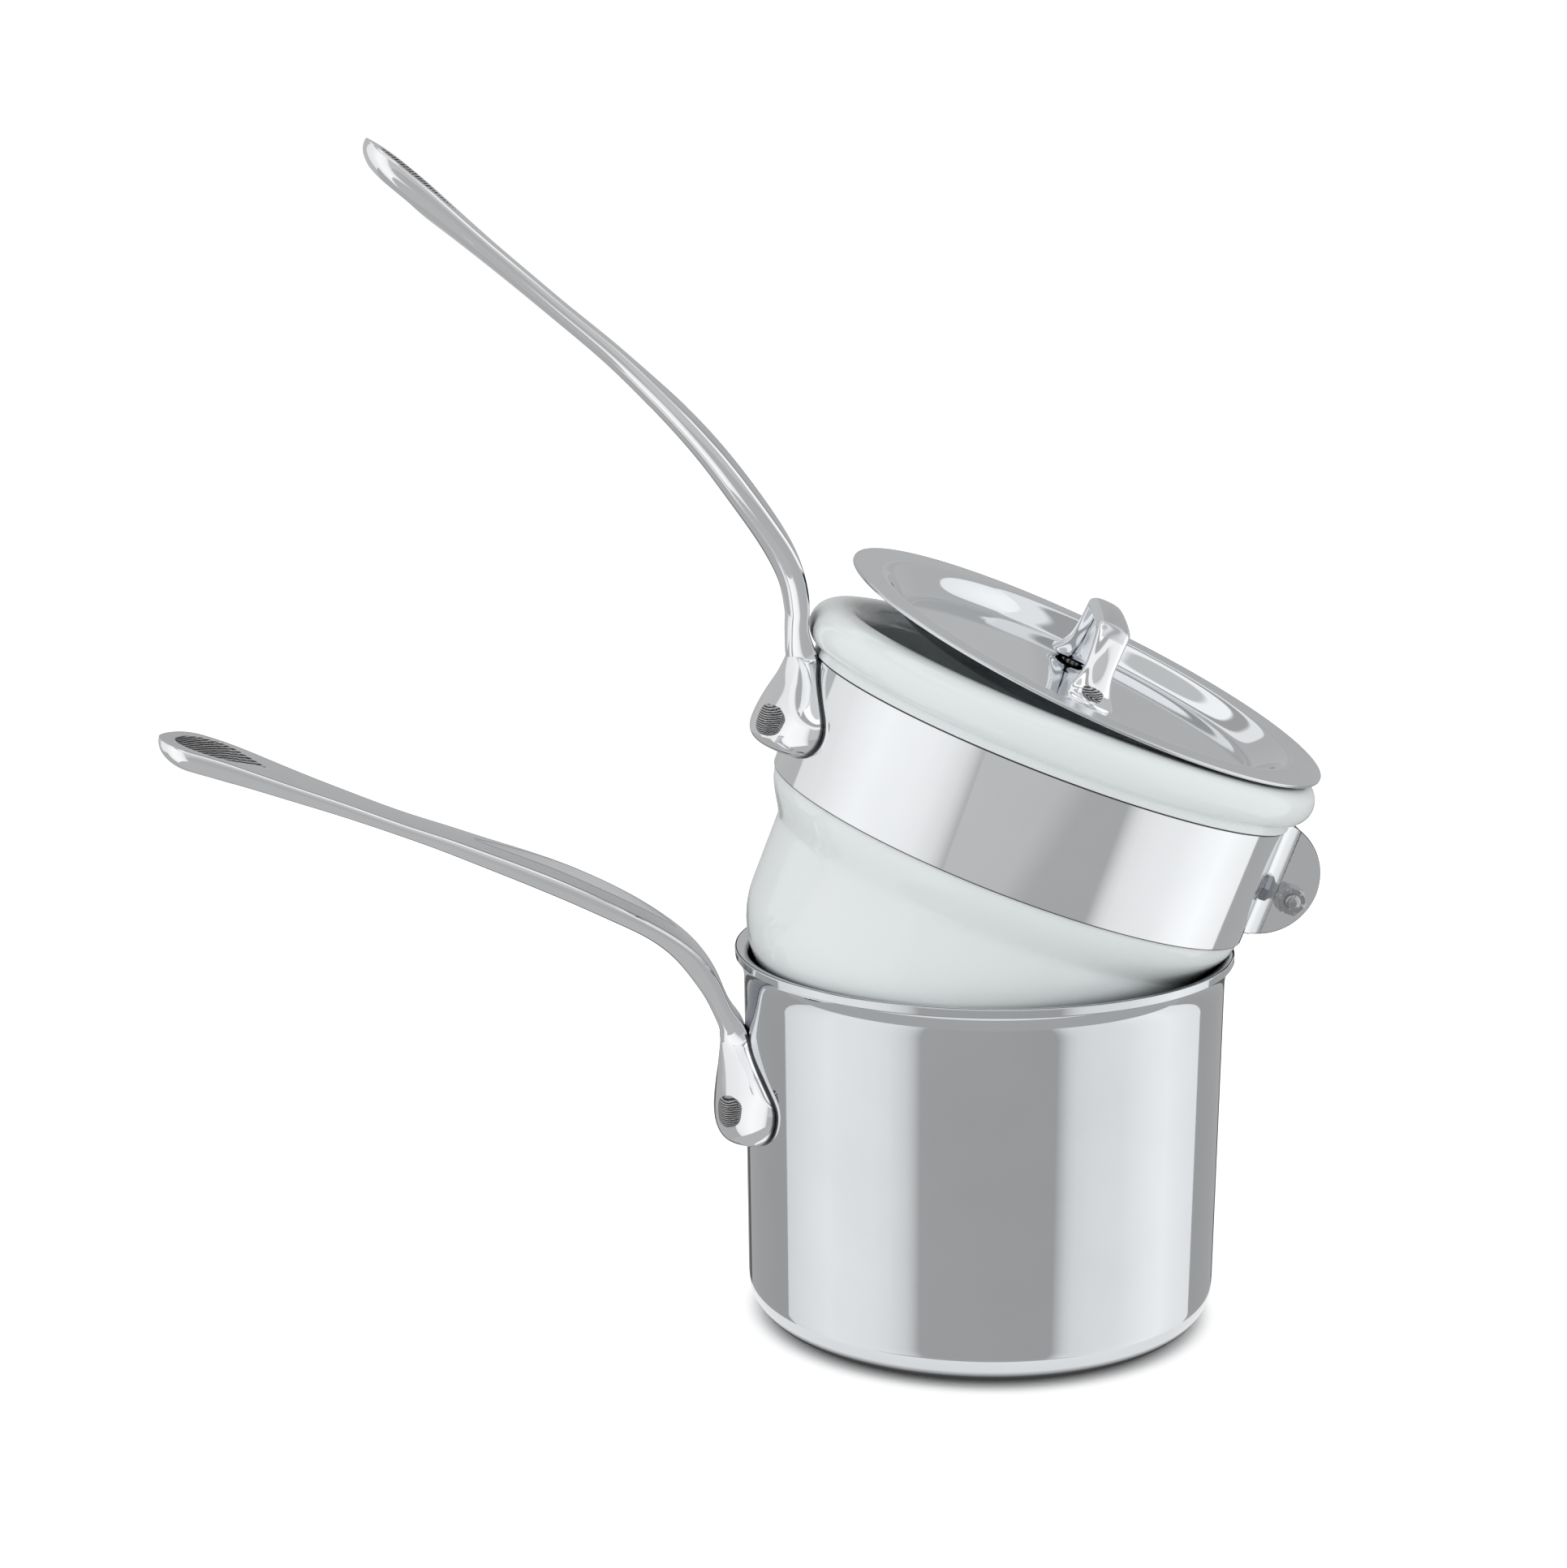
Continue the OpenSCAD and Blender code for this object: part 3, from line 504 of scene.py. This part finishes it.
# Lid, heights from the top of its flange
lid = {"radius": 75.7, "sheet": 1.1, "flange": 9.2, "depth": 7, "slope": 11, "gap": 0.4, "edge": 0.4,
       "flangeSatin": 0.75, "underShare": 0.6}
lidLean = math.radians(lean["lid"])
lidReach = rollRadius - lean["lidShift"] * math.cos(math.radians(lean["lidTurn"]))
lidUp = lid["gap"] + lid["sheet"] / math.cos(lidLean) + lidReach * math.tan(lidLean)
lidPlace = insertPlace @ moved(lean["lidShift"], 0, crown + lidUp) @ turned("z", lean["lidTurn"]) \
    @ turned("y", lean["lid"]) @ turned("z", -lean["lidTurn"])
lidInner = lid["radius"] - lid["flange"]
lidFloor = lidInner - lid["slope"]


# Dish wall: h = -depth * (1 + cos(180 u)) / 2 while r goes from the floor to the flange
def dishLine(drop, steps=26):
    u = np.linspace(0, 1, steps + 1)
    return np.stack([lidFloor + lid["slope"] * u, drop - lid["depth"] * (1 + np.cos(np.pi * u)) / 2], -1)


rimLine = roundedLine([[lidInner + 0.4, 0, 0], [lid["radius"], 0, lid["edge"]],
                       [lid["radius"], -lid["sheet"], lid["edge"]], [lidInner + 0.4, -lid["sheet"], 0]], 5)
dishLow = -lid["depth"]
floorLine = np.array([[2, dishLow], [lidFloor - 1.6, dishLow], [lidFloor - 1.1, dishLow + 0.02],
                      [lidFloor - 0.8, dishLow + 0.16], [lidFloor - 0.5, dishLow + 0.02]])
lidLine = np.vstack([floorLine, dishLine(0), rimLine, dishLine(-lid["sheet"])[::-1],
                     [[2, dishLow - lid["sheet"]]]])
rimTop = 8  # the points of the rim's line before its outer side
lidSatin = np.where(lidLine[:, 0] > lidInner, lid["flangeSatin"], 0.0)
lidSatin[len(floorLine) + len(dishLine(0)) + rimTop:] *= lid["underShare"]
makePiece("dishedLid", spun(lidLine, 224), lidPlace, "lid_body", ["lid"], lidSteel,
          {"satin": lidSatin[:, None]})
print("lid made")


# Signed power, |v|^p with the sign of v, which makes an ellipse squarer
def signedPower(v, p):
    return np.sign(v) * np.abs(v) ** p


# Strap of the lid: stations of [along, height of the middle, width, thickness]
strap = {"span": 63, "height": 24, "width": 10.5, "thick": 4.8, "foot": 14.5, "power": 2.5, "rivet": 6,
         "rivetSeat": 4.6, "rivetTop": 6.3, "rivetHead": 10.2, "rivetHeadThick": 1, "rivetTurn": 20}
footEnd = -strap["span"] / 2
strapHalf = [
    [footEnd - strap["foot"] * 0.5, 1.7, strap["foot"] * 0.3, 2.6],
    [footEnd - strap["foot"] * 0.42, 1.9, strap["foot"] * 0.62, 3.4],
    [footEnd - strap["foot"] * 0.18, 2.1, strap["foot"] * 0.94, 4.2],
    [footEnd + strap["foot"] * 0.08, 2.6, strap["foot"] * 0.98, 5],
    [footEnd + strap["foot"] * 0.3, 4.4, strap["foot"] * 0.84, 6],
    [footEnd + strap["foot"] * 0.47, strap["height"] * 0.36, strap["width"] * 0.88, 6],
    [footEnd + strap["foot"] * 0.62, strap["height"] * 0.58, strap["width"] * 0.84, 5.6],
    [footEnd + strap["foot"] * 0.86, strap["height"] * 0.81, strap["width"] * 0.92, 5.2],
    [-strap["span"] / 4, strap["height"] - strap["thick"] * 0.6, strap["width"], strap["thick"]],
    [-strap["span"] / 9, strap["height"] - strap["thick"] * 0.5, strap["width"], strap["thick"]]]
strapStations = np.array(strapHalf + [[-s[0], *s[1:]] for s in strapHalf[::-1]])


# Strap: a squared ellipse, x = width / 2 * cos(a)^(2/p) and k = thickness / 2 * sin(a)^(2/p),
# carried along the stations and turned with the path, with its rows closer together near both ends.
# The top of the bridge is marked as satin.
def strapGrid(rows=220, cols=64):
    n = len(strapStations) - 1
    q = n * (1 - np.cos(np.linspace(0, np.pi, rows))) / 2 * 0.35 + n * np.linspace(0, 1, rows) * 0.65
    s = splineAt(strapStations, q)
    slope = np.gradient(s[:, :2], axis=0)
    slope /= np.linalg.norm(slope, axis=1)[:, None]
    a = np.linspace(0, 2 * np.pi, cols, endpoint=False)
    x = s[:, 2:3] / 2 * signedPower(np.cos(a), 2 / strap["power"])[None]
    k = s[:, 3:4] / 2 * signedPower(np.sin(a), 2 / strap["power"])[None]
    flat = (np.sin(a)[None] > 0.75) * ((s[:, 1:2] > strap["height"] * 0.75) * 1.0)
    return np.stack([x, s[:, :1] - slope[:, 1:] * k, s[:, 1:2] + slope[:, :1] * k], -1), flat


strapPlace = lidPlace @ turned("z", lean["turn"]) @ moved(0, 0, -lid["depth"])
strapPoints, strapFlat = strapGrid()
makePiece("lidStrap", strapPoints, strapPlace, "lid_body", ["lid_handle"], castSteel,
          {"satin": strapFlat})


# Rivet: a flat head inside, a plain shank, and a hammered end. Each ring's radius is
# r / (|cos t|^n + |sin t|^n)^(1/n), round at n = 2 and squarer above it
def rivetGrid(low, seat, high, d, headD, headT, turns=96):
    end = high - seat
    rows = np.array([
        [0.3, low - headT, 2], [headD / 2 - 0.8, low - headT, 2], [headD / 2 - 0.1, low - headT + 0.25, 2],
        [headD / 2, low - headT + 0.6, 2], [headD / 2, low - 0.05, 2], [headD / 2 - 0.1, low, 2],
        [d / 2 - 0.05, low, 2], [d / 2 - 0.05, seat - 0.6, 2], [d * 0.49, seat - 0.2, 2.6],
        [d * 0.49, seat + end * 0.25, 2.8], [d * 0.485, seat + end * 0.5, 2.8],
        [d * 0.455, seat + end * 0.7, 2.8], [d * 0.405, seat + end * 0.84, 2.7],
        [d * 0.34, seat + end * 0.92, 2.6], [d * 0.24, seat + end * 0.975, 2.4],
        [d * 0.12, high, 2.2], [0.2, high, 2]])
    rows = np.vstack([rows[:7], splineAt(rows[7:], np.linspace(0, 9, 46))])
    t = np.linspace(0, 2 * np.pi, turns, endpoint=False)
    n = rows[:, 2:3]
    r = rows[:, :1] / (np.abs(np.cos(t)) ** n + np.abs(np.sin(t)) ** n) ** (1 / n)
    return np.stack([r * np.cos(t), r * np.sin(t), np.repeat(rows[:, 1:2], turns, 1)], -1)


for side, node in ((-1, "lid_rivet_front"), (1, "lid_rivet_back")):
    place = strapPlace @ moved(0, side * strap["span"] / 2, 0) @ turned("z", strap["rivetTurn"])
    grid = rivetGrid(-lid["sheet"], strap["rivetSeat"], strap["rivetTop"], strap["rivet"],
                     strap["rivetHead"], strap["rivetHeadThick"], 64)
    makePiece("strapRivet" + ("Front" if side < 0 else "Back"), grid, place, "lid_body", [node],
              rivetSteel)
print("lid handle made")

# Long handles: stations of [out from the wall, up from the rivets, width, thickness, bow, fullness
# of the section], where a bow of -1 follows the wall and a positive one crowns the top
# lineFrom, lineTo, flangeLineFrom and scoopLine place and weight the painted shade lines
grip = {"end": 31, "slim": 19.5, "thumb": 28, "flange": 59, "eyeWidth": 21, "eyeLength": 27, "edge": 0.8,
        "panFlange": 9.8, "bandFlange": 11.3, "bandLift": 16.3,
        "scoopWidth": 7, "scoopDepth": 1.2, "scoopFrom": 7.7, "scoopTo": 12.9, "satinTo": 18,
        "lineFrom": 1.3, "lineTo": 17, "flangeLineFrom": 17.5, "scoopLine": 0.8}
e, g, w, f = grip["end"], grip["slim"], grip["thumb"], grip["flange"]
k = grip["panFlange"]
panStations = np.array([
    [169.8, 112.2, e * 0.8, 6.6, 0, 2.3], [163.1, 110.7, e, 7.3, 0, 2.3], [155, 108.2, e, 7.8, 0, 2.3],
    [145.9, 104.8, e * 0.93, 7.1, 0, 2.3], [129.9, 98.3, e * 0.77, 6, 0.1, 2.3],
    [114.9, 92.4, g * 1.04, 5.3, 0.2, 2.3], [100.9, 87, g, 5, 0.4, 2.3],
    [87.9, 82.6, g * 1.04, 5.6, 0.6, 2.3], [75.9, 78.6, g * 1.14, 6.5, 1, 2.3],
    [60.7, 73.6, w * 0.94, 7.6, 1.3, 2.3], [48, 68.5, w, 8, 1.4, 2.3], [36.8, 62.9, w, 7.8, 1.4, 2.3],
    [27.6, 57.3, w * 0.93, 7.2, 1.3, 2.3], [19.9, 51.4, w * 0.82, 7.1, 1, 2.3],
    [13.3, 44.7, w * 0.7, 7.4, 0.7, 2.3], [8.1, 36.2, w * 0.6, 6.8, 0.3, 2.3],
    [5, 28.6, w * 0.53, 5.9, 0, 2.2], [1.4, 23, w * 0.5, 7.5, -0.5, 2],
    [0, 17.9, w * 0.62, k * 0.81, -1, 1.6], [0, 13, f * 0.58, k * 0.84, -1, 1.5],
    [0, 8, f * 0.85, k * 0.89, -1, 1.7], [0, 3, f, k * 0.95, -1, 2.1], [0, -3, f * 0.97, k, -1, 2.4],
    [0, -8, f * 0.82, k * 0.96, -1, 2.4], [0, -11.5, f * 0.52, k * 0.78, -1, 2.4],
    [0, -13, f * 0.1, k * 0.51, -1, 2.4]])
k = grip["bandFlange"]
insertStations = np.array([
    [169.5, 113.8, e * 0.8, 6.4, 0, 2.3], [162.7, 112, e, 7.1, 0, 2.3], [154.6, 109.3, e, 8.2, 0, 2.3],
    [145.6, 105.9, e * 0.93, 7.3, 0, 2.3], [129.6, 99.6, e * 0.77, 6, 0.1, 2.3],
    [114.6, 94.1, g * 1.04, 5.6, 0.2, 2.3], [100.5, 89.1, g, 5.6, 0.4, 2.3],
    [86.3, 84.3, g * 1.04, 6, 0.6, 2.3], [73.1, 79.3, g * 1.14, 6.7, 1, 2.3],
    [58.6, 73.4, w * 0.94, 7.8, 1.3, 2.3], [46.2, 67.3, w, 8.6, 1.4, 2.3], [35.4, 60.7, w, 9, 1.4, 2.3],
    [25.1, 53.4, w * 0.93, 8.8, 1.3, 2.3], [16.9, 46.5, w * 0.82, 8.5, 1, 2.3],
    [10.8, 39, w * 0.7, 7.8, 0.7, 2.3], [7.2, 31.3, w * 0.6, 7, 0.3, 2.3],
    [5.7, 26.4, w * 0.53, 6.6, 0, 2.2], [2.4, 21.9, w * 0.5, 8.4, -0.4, 2],
    [0, 18.6, w * 0.55, k * 0.78, -0.8, 1.7], [0, 15, f * 0.42, k * 0.76, -1, 1.5],
    [0, 10, f * 0.68, k * 0.81, -1, 1.6], [0, 5, f * 0.9, k * 0.89, -1, 1.9],
    [0, 0, f * 0.97, k * 0.96, -1, 2.3], [0, -5, f * 0.88, k, -1, 2.4],
    [0, -8.8, f * 0.6, k * 0.9, -1, 2.4], [0, -10.6, f * 0.12, k * 0.53, -1, 2.4]])


# Handle: rings across the stations. The top is a flat or crowned strip with a leaf-shaped scoop,
# depth * (1 - (y / half leaf)^2); a small quarter round turns into the underside, a squared
# half ellipse y = half * cos(a)^(2/p), down = thickness * sin(a)^(2/p). A row drawn towards
# the round end narrows as a circle does. Marked are the satin top without its scoop, and painted
# shade lines along the top's edges, round the scoop and round the flange.
def handleGrid(stations, wallR, lift):
    roundEnd = 1.6
    q = np.concatenate([roundEnd * (1 - np.cos(np.linspace(0.03, np.pi / 2, 26)[:-1])),
                        np.linspace(roundEnd, len(stations) - 1, 260)])
    s = splineAt(stations, q)
    ahead, back = splineAt(stations, q + 0.03), splineAt(stations, q - 0.03)
    dr, dz = (ahead - back)[:, 0], (ahead - back)[:, 1]
    long = np.hypot(dr, dz)
    upR, upZ = (dz / long)[:, None], (-dr / long)[:, None]
    x = np.clip(q / roundEnd, 0, 1)
    half = (s[:, 2] / 2 * np.sqrt(1 - (1 - x) ** 2))[:, None]
    p = s[:, 5:6]
    t = s[:, 3:4] * (1 - (1 - x[:, None]) ** p) ** (1 / p)
    edge = np.minimum(grip["edge"], np.minimum(half * 0.4, t * 0.3))
    leaf = np.clip((q - grip["scoopFrom"]) / (grip["scoopTo"] - grip["scoopFrom"]), 0, 1)
    leaf = (np.sin(leaf * np.pi) ** 0.8)[:, None]
    halfLeaf = np.minimum(np.maximum(grip["scoopWidth"] * leaf, 0.5), half * 0.5)
    c = np.append(np.linspace(0, 0.93, 9), 1)
    out = halfLeaf + (half - edge - halfLeaf) * c[None, 1:]
    rightTop = np.hstack([halfLeaf * c[None], out])
    top = np.hstack([-rightTop[:, :0:-1], rightTop])
    dish = -grip["scoopDepth"] * leaf * np.clip(1 - (top / halfLeaf) ** 2, 0, 1)
    a = np.linspace(np.pi / 2, 0, 7)[None, 1:]
    corner = half - edge + edge * np.cos(a)
    cornerDown = -edge + edge * np.sin(a)
    b = np.linspace(0, np.pi, 61)[None, 1:-1]
    under = half * signedPower(np.cos(b), 2 / p)
    underDown = -edge - (t - edge) * np.sin(b) ** (2 / p)
    y = np.hstack([top, corner, under, -corner[:, ::-1]])
    down = np.hstack([dish, cornerDown, underDown, cornerDown[:, ::-1]])
    bow = s[:, 4:5]
    follow = wallR - np.sqrt(wallR ** 2 - y ** 2)
    down = down - np.maximum(bow, 0) * y ** 2 / (2 * wallR) + np.maximum(-bow, 0) * follow
    satin = np.zeros_like(y)
    n, turn = top.shape[1], corner.shape[1]
    middle, leafEdge = n // 2, len(c) - 1
    satin[:, :n] = (q < grip["satinTo"])[:, None]
    satin[:, middle - leafEdge + 1:middle + leafEdge] *= 1 - leaf
    # painted shade lines: dark along the top's edges, round the scoop and round the flange
    paintedShadeLine = np.zeros_like(y)
    paintedShadeLine[:, [0, n - 1]] = ((q > grip["lineFrom"]) & (q < grip["lineTo"]))[:, None]
    paintedShadeLine[:, n:n + turn] = paintedShadeLine[:, -turn:] = (q > grip["flangeLineFrom"])[:, None]
    paintedShadeLine[:, [middle - leafEdge, middle + leafEdge]] = grip["scoopLine"] * (leaf > 0.05)
    points = np.stack([-(wallR + s[:, :1] + upR * down), y, lift + s[:, 1:2] + upZ * down], -1)
    return points, {"satin": satin, "paintedShadeLine": paintedShadeLine}


# Teardrop outline: a circle, and the two lines from its sides to the point, grown by an amount
def teardrop(grow, turns=120):
    r = grip["eyeWidth"] / 2
    point = grip["eyeLength"] - r
    touch = math.acos(r / point)
    t = np.linspace(touch, 2 * np.pi - touch, turns)
    circle = np.stack([(r + grow) * np.cos(t), (r + grow) * np.sin(t)], -1)
    u = np.linspace(0, 1, 24)[1:-1, None]
    tip = np.array([[point + grow * 1.3, 0]])
    return np.vstack([circle, circle[-1] * (1 - u) + tip * u, tip, tip * (1 - u) + circle[0] * u])


# Cuts the eye with a teardrop block that widens a little at both faces. Its levels are [height from
# the handle's top face, growth of the outline].
def cutEye(piece, stations, wallR, lift, place):
    s = stations[2]
    ahead = splineAt(stations, np.array([2.5]))[0]
    slope = math.degrees(math.atan2(s[1] - ahead[1], s[0] - ahead[0]))
    t = s[3]
    levels = [[6, 0.9], [0.05, 0.75], [-0.7, 0.1], [-1.6, 0], [-t * 0.75, 0], [-t * 0.93, 0.35],
              [-t - 0.3, 1.2], [-t - 5, 1.4]]
    grid = np.stack([np.pad(teardrop(grow), ((0, 0), (0, 1)), constant_values=h) for h, grow in levels])
    at = place @ moved(-(wallR + s[0]), 0, lift + s[1]) @ turned("y", slope)
    mesh = closedMesh("eyeBlock", grid, at)
    mesh.materials.append(eyeSteel)
    mesh.update()
    block = addObject("eyeBlock", mesh)
    piece.data.materials.append(eyeSteel)
    cut = piece.modifiers.new("eye", "BOOLEAN")
    cut.operation, cut.solver, cut.object = "DIFFERENCE", "EXACT", block
    cut.material_mode = "TRANSFER"
    bpy.context.view_layer.update()
    shown = piece.evaluated_get(bpy.context.evaluated_depsgraph_get())
    result = bpy.data.meshes.new_from_object(shown)
    piece.modifiers.clear()
    piece.data = result
    result.set_sharp_from_angle(angle=sharpAngle)
    bpy.data.objects.remove(block)


for name, node, body, stations, wallR, lift, place in (
        ("panHandle", "saucepan_handle", "saucepan_body", panStations, panRadius(pan["rivetHeight"]),
         pan["rivetHeight"], np.eye(4)),
        ("bandHandle", "insert_handle", "insert_body", insertStations, band["radius"], grip["bandLift"],
         insertPlace)):
    points, marks = handleGrid(stations, wallR, lift)
    piece = makePiece(name, points, place, body, [node], castSteel, marks)
    cutEye(piece, stations, wallR, lift, place)
    print(name, "made,", len(piece.data.polygons), "faces")

# Handle rivets, along the radius at an angle to each side
rivet = {"diameter": 9, "panAngle": 12.4, "bandAngle": 10.9, "head": 13, "headThick": 1.2, "endLength": 3,
         "panStand": 1.2, "bandStand": 1.6, "farStand": -1.1, "bandHeight": 15.2}
headHalf = rivet["head"] / 2
panFace = panRadius(pan["rivetHeight"]) + grip["panFlange"]
panSeat = math.sqrt((panRadius(pan["rivetHeight"] - headHalf) - pan["wall"]) ** 2 - headHalf ** 2)
bandSeat = math.sqrt(beltRadius ** 2 - headHalf ** 2)
for name, node, body, low, face, stand, height, angle, place in (
        ("panRivet", "saucepan_rivet", "saucepan_body", panSeat, panFace,
         rivet["panStand"], pan["rivetHeight"], rivet["panAngle"], np.eye(4)),
        ("bandRivet", "insert_rivet", "insert_body", bandSeat, band["radius"] + grip["bandFlange"],
         rivet["bandStand"], rivet["bandHeight"], rivet["bandAngle"], insertPlace)):
    for side, word in ((-1, "left"), (1, "right")):
        high = face + (stand if side > 0 else rivet["farStand"])
        at = place @ moved(0, 0, height) @ turned("z", 180 + side * angle) @ turned("y", 90)
        grid = rivetGrid(low, high - rivet["endLength"], high, rivet["diameter"], rivet["head"],
                         rivet["headThick"])
        makePiece(name + word.capitalize(), grid, at, body, [node + "_" + word], rivetSteel)
print("rivets made")

# Studio: a white floor and world, two tall soft panels at the sides, grey flats between them, grey
# cards under and over all and a ring round the foot, a painted reflection of the floor with a painted
# contact shadow next to the foot, which show only in the steel. Each flat is a row of [angle, level of
# light] pairs, its foot, the share of that level in its upper part, its radius, and whether it lights the
# object. Each ring is its height and [radius, level] pairs.
cardLow, cardHigh = -1.2, 1.45
studio = {"floorHalf": 4.0, "world": 1.0, "change": -0.2, "blend": 0.12, "turn": -5, "flats": {
    "panelRight": [[[31, 0.45], [33.5, 0.6], [37, 0.78], [41, 0.88], [49, 0.93], [65, 0.97], [74, 1.04],
                    [83, 1.1], [93, 1.15], [104, 1.08], [119, 1]], cardLow, 1, 1.5, True],
    "panelLeft": [[[-110, 0.88], [-101, 0.95], [-91, 1.01], [-81, 1.06], [-72, 1.03], [-55, 1], [-47, 0.95],
                   [-39, 0.82], [-35.5, 0.68], [-32, 0.46]], cardLow, 1, 1.5, True],
    "highLeft": [[[-127, 0.85], [-109, 0.9]], -0.17, 1, 1.49, False],
    "frontFlat": [[[-38, 0.46], [36, 0.435]], cardLow, 1.25, 1.58, False],
    "backFlat": [[[112, 0.43], [256, 0.43]], cardLow, 1.2, 1.58, False],
    "edgeRight": [[[158, 0.12], [166, 0.12]], cardLow, 4, 1.5, False],
    "edgeLeft": [[[-166, 0.12], [-158, 0.12]], cardLow, 4, 1.5, False]}, "rings": {
    "lowCard": [cardLow, [[0.001, 0.48], [1.7, 0.48]]],
    # painted reflection of the floor: near black next to the foot as painted contact shadow, bright beyond
    "floorReflectionRing": [0.0002, [[0.06, 0.02], [0.066, 0.08], [0.0695, 0.95], [0.0795, 1]]],
    "topCard": [cardHigh, [[0.001, 0.64], [0.35, 0.64], [0.42, 1.12], [0.72, 1.12], [0.78, 0.42],
                           [1.05, 0.42], [1.15, 0.95], [1.7, 0.95]]]}}


# Card that only reflections see. Its level of light is read from its points.
def lightCard(name, pts, faces, levels, lights):
    mesh = bpy.data.meshes.new(name)
    mesh.from_pydata(pts.tolist(), [], faces.tolist())
    mesh.attributes.new("level", "FLOAT", "POINT").data.foreach_set("value", levels.astype(np.float32))
    mat, tree, shader = newMaterial(name)
    tree.nodes.remove(shader)
    level = addNode(tree, "ShaderNodeAttribute", attribute_name="level").outputs["Fac"]
    glow = addNode(tree, "ShaderNodeEmission", {"Strength": level}).outputs[0]
    feed(tree, tree.nodes["Material Output"].inputs["Surface"], glow)
    mesh.materials.append(mat)
    card = addObject(name, mesh)
    card.visible_camera = False
    card.visible_shadow = False
    card.visible_diffuse = lights


# Curved flat round the object: x = r cos t, y = r sin t, with t measured from the camera's side to its
# right, and levels of light that run evenly from pair to pair
def curvedFlat(name, pairs, foot, top, radius, lights, steps=96):
    angles, levels = np.array(pairs).T
    t = np.linspace(angles[0], angles[-1], steps)
    a = np.radians(t - 90 + studio["turn"])
    x, y = radius * np.cos(a), radius * np.sin(a)
    middle = max(foot + 0.01, studio["change"])
    heights = np.array([[foot, 1], [middle, 1], [middle + studio["blend"], top], [cardHigh, top]])
    pts = np.vstack([np.stack([x, y, np.full_like(x, z)], -1) for z in heights[:, 0]])
    faces = gridQuads(len(heights), steps, closed=False)
    lightCard(name, pts, faces, np.outer(heights[:, 1], np.interp(t, angles, levels)).reshape(-1), lights)


# Flat ring: x = r cos t, y = r sin t at one height, with a level of light for each radius
def ringCard(name, height, pairs, turns=96):
    radii, levels = np.array(pairs).T
    t = np.linspace(0, 2 * np.pi, turns, endpoint=False)
    x, y = np.outer(radii, np.cos(t)), np.outer(radii, np.sin(t))
    pts = np.stack([x, y, np.full_like(x, height)], -1).reshape(-1, 3)
    lightCard(name, pts, gridQuads(len(radii), turns), np.repeat(levels, turns), False)


for name, values in studio["rings"].items():
    ringCard(name, *values)
for name, values in studio["flats"].items():
    curvedFlat(name, *values)

# Floor: plain white paper that glows only for the camera, enough to read as white. The glow fades
# where the object stands close over it, a painted contact shadow over the real one.
paper = {"color": (0.86, 0.86, 0.86, 1), "roughness": 0.9, "shadowReach": 0.03, "dark": 0.22, "clear": 0.8,
         "glow": 0.55}
corners = np.array([[-1, -1, 0], [1, -1, 0], [1, 1, 0], [-1, 1, 0]]) * studio["floorHalf"]
mesh = bpy.data.meshes.new("floor")
mesh.from_pydata(corners.tolist(), [], [(0, 1, 2, 3)])
floor = addObject("floor", mesh)
mat, tree, shader = newMaterial("whitePaper")
shader.inputs["Base Color"].default_value = paper["color"]
shader.inputs["Roughness"].default_value = paper["roughness"]
# Ambient occlusion fades the camera glow close under the object: painted contact shadow
near = addNode(tree, "ShaderNodeAmbientOcclusion", {"Distance": paper["shadowReach"]}).outputs["AO"]
paintedContactShadow = mapped(tree, near, 0.0, paper["glow"], paper["dark"], paper["clear"],
                 interpolation_type="SMOOTHSTEP")
seen = addNode(tree, "ShaderNodeLightPath").outputs["Is Camera Ray"]
glow = addNode(tree, "ShaderNodeEmission", {"Strength": combined(tree, "MULTIPLY", seen, paintedContactShadow)})
both = addNode(tree, "ShaderNodeAddShader", {0: shader.outputs[0], 1: glow.outputs[0]})
feed(tree, tree.nodes["Material Output"].inputs["Surface"], both.outputs[0])
mesh.materials.append(mat)
floor.visible_glossy = False

world = bpy.data.worlds.new("studio")
bpy.context.scene.world = world
world.use_nodes = True
background = world.node_tree.nodes["Background"]
background.inputs["Color"].default_value = (1, 1, 1, 1)
background.inputs["Strength"].default_value = studio["world"]

view = {"lens": 68.97, "sensor": 36, "at": (-0.1359, -0.8656, 0.3336), "tilt": 78.92, "turn": -5}
scene = bpy.context.scene
scene.view_settings.view_transform = "Standard"
camera = bpy.data.cameras.new("camera")
camera.lens, camera.sensor_width, camera.sensor_fit = view["lens"], view["sensor"], "HORIZONTAL"
cameraObject = addObject("camera", camera)
cameraObject.location = view["at"]
cameraObject.rotation_euler = (math.radians(view["tilt"]), 0, math.radians(view["turn"]))
scene.camera = cameraObject
print("studio made")
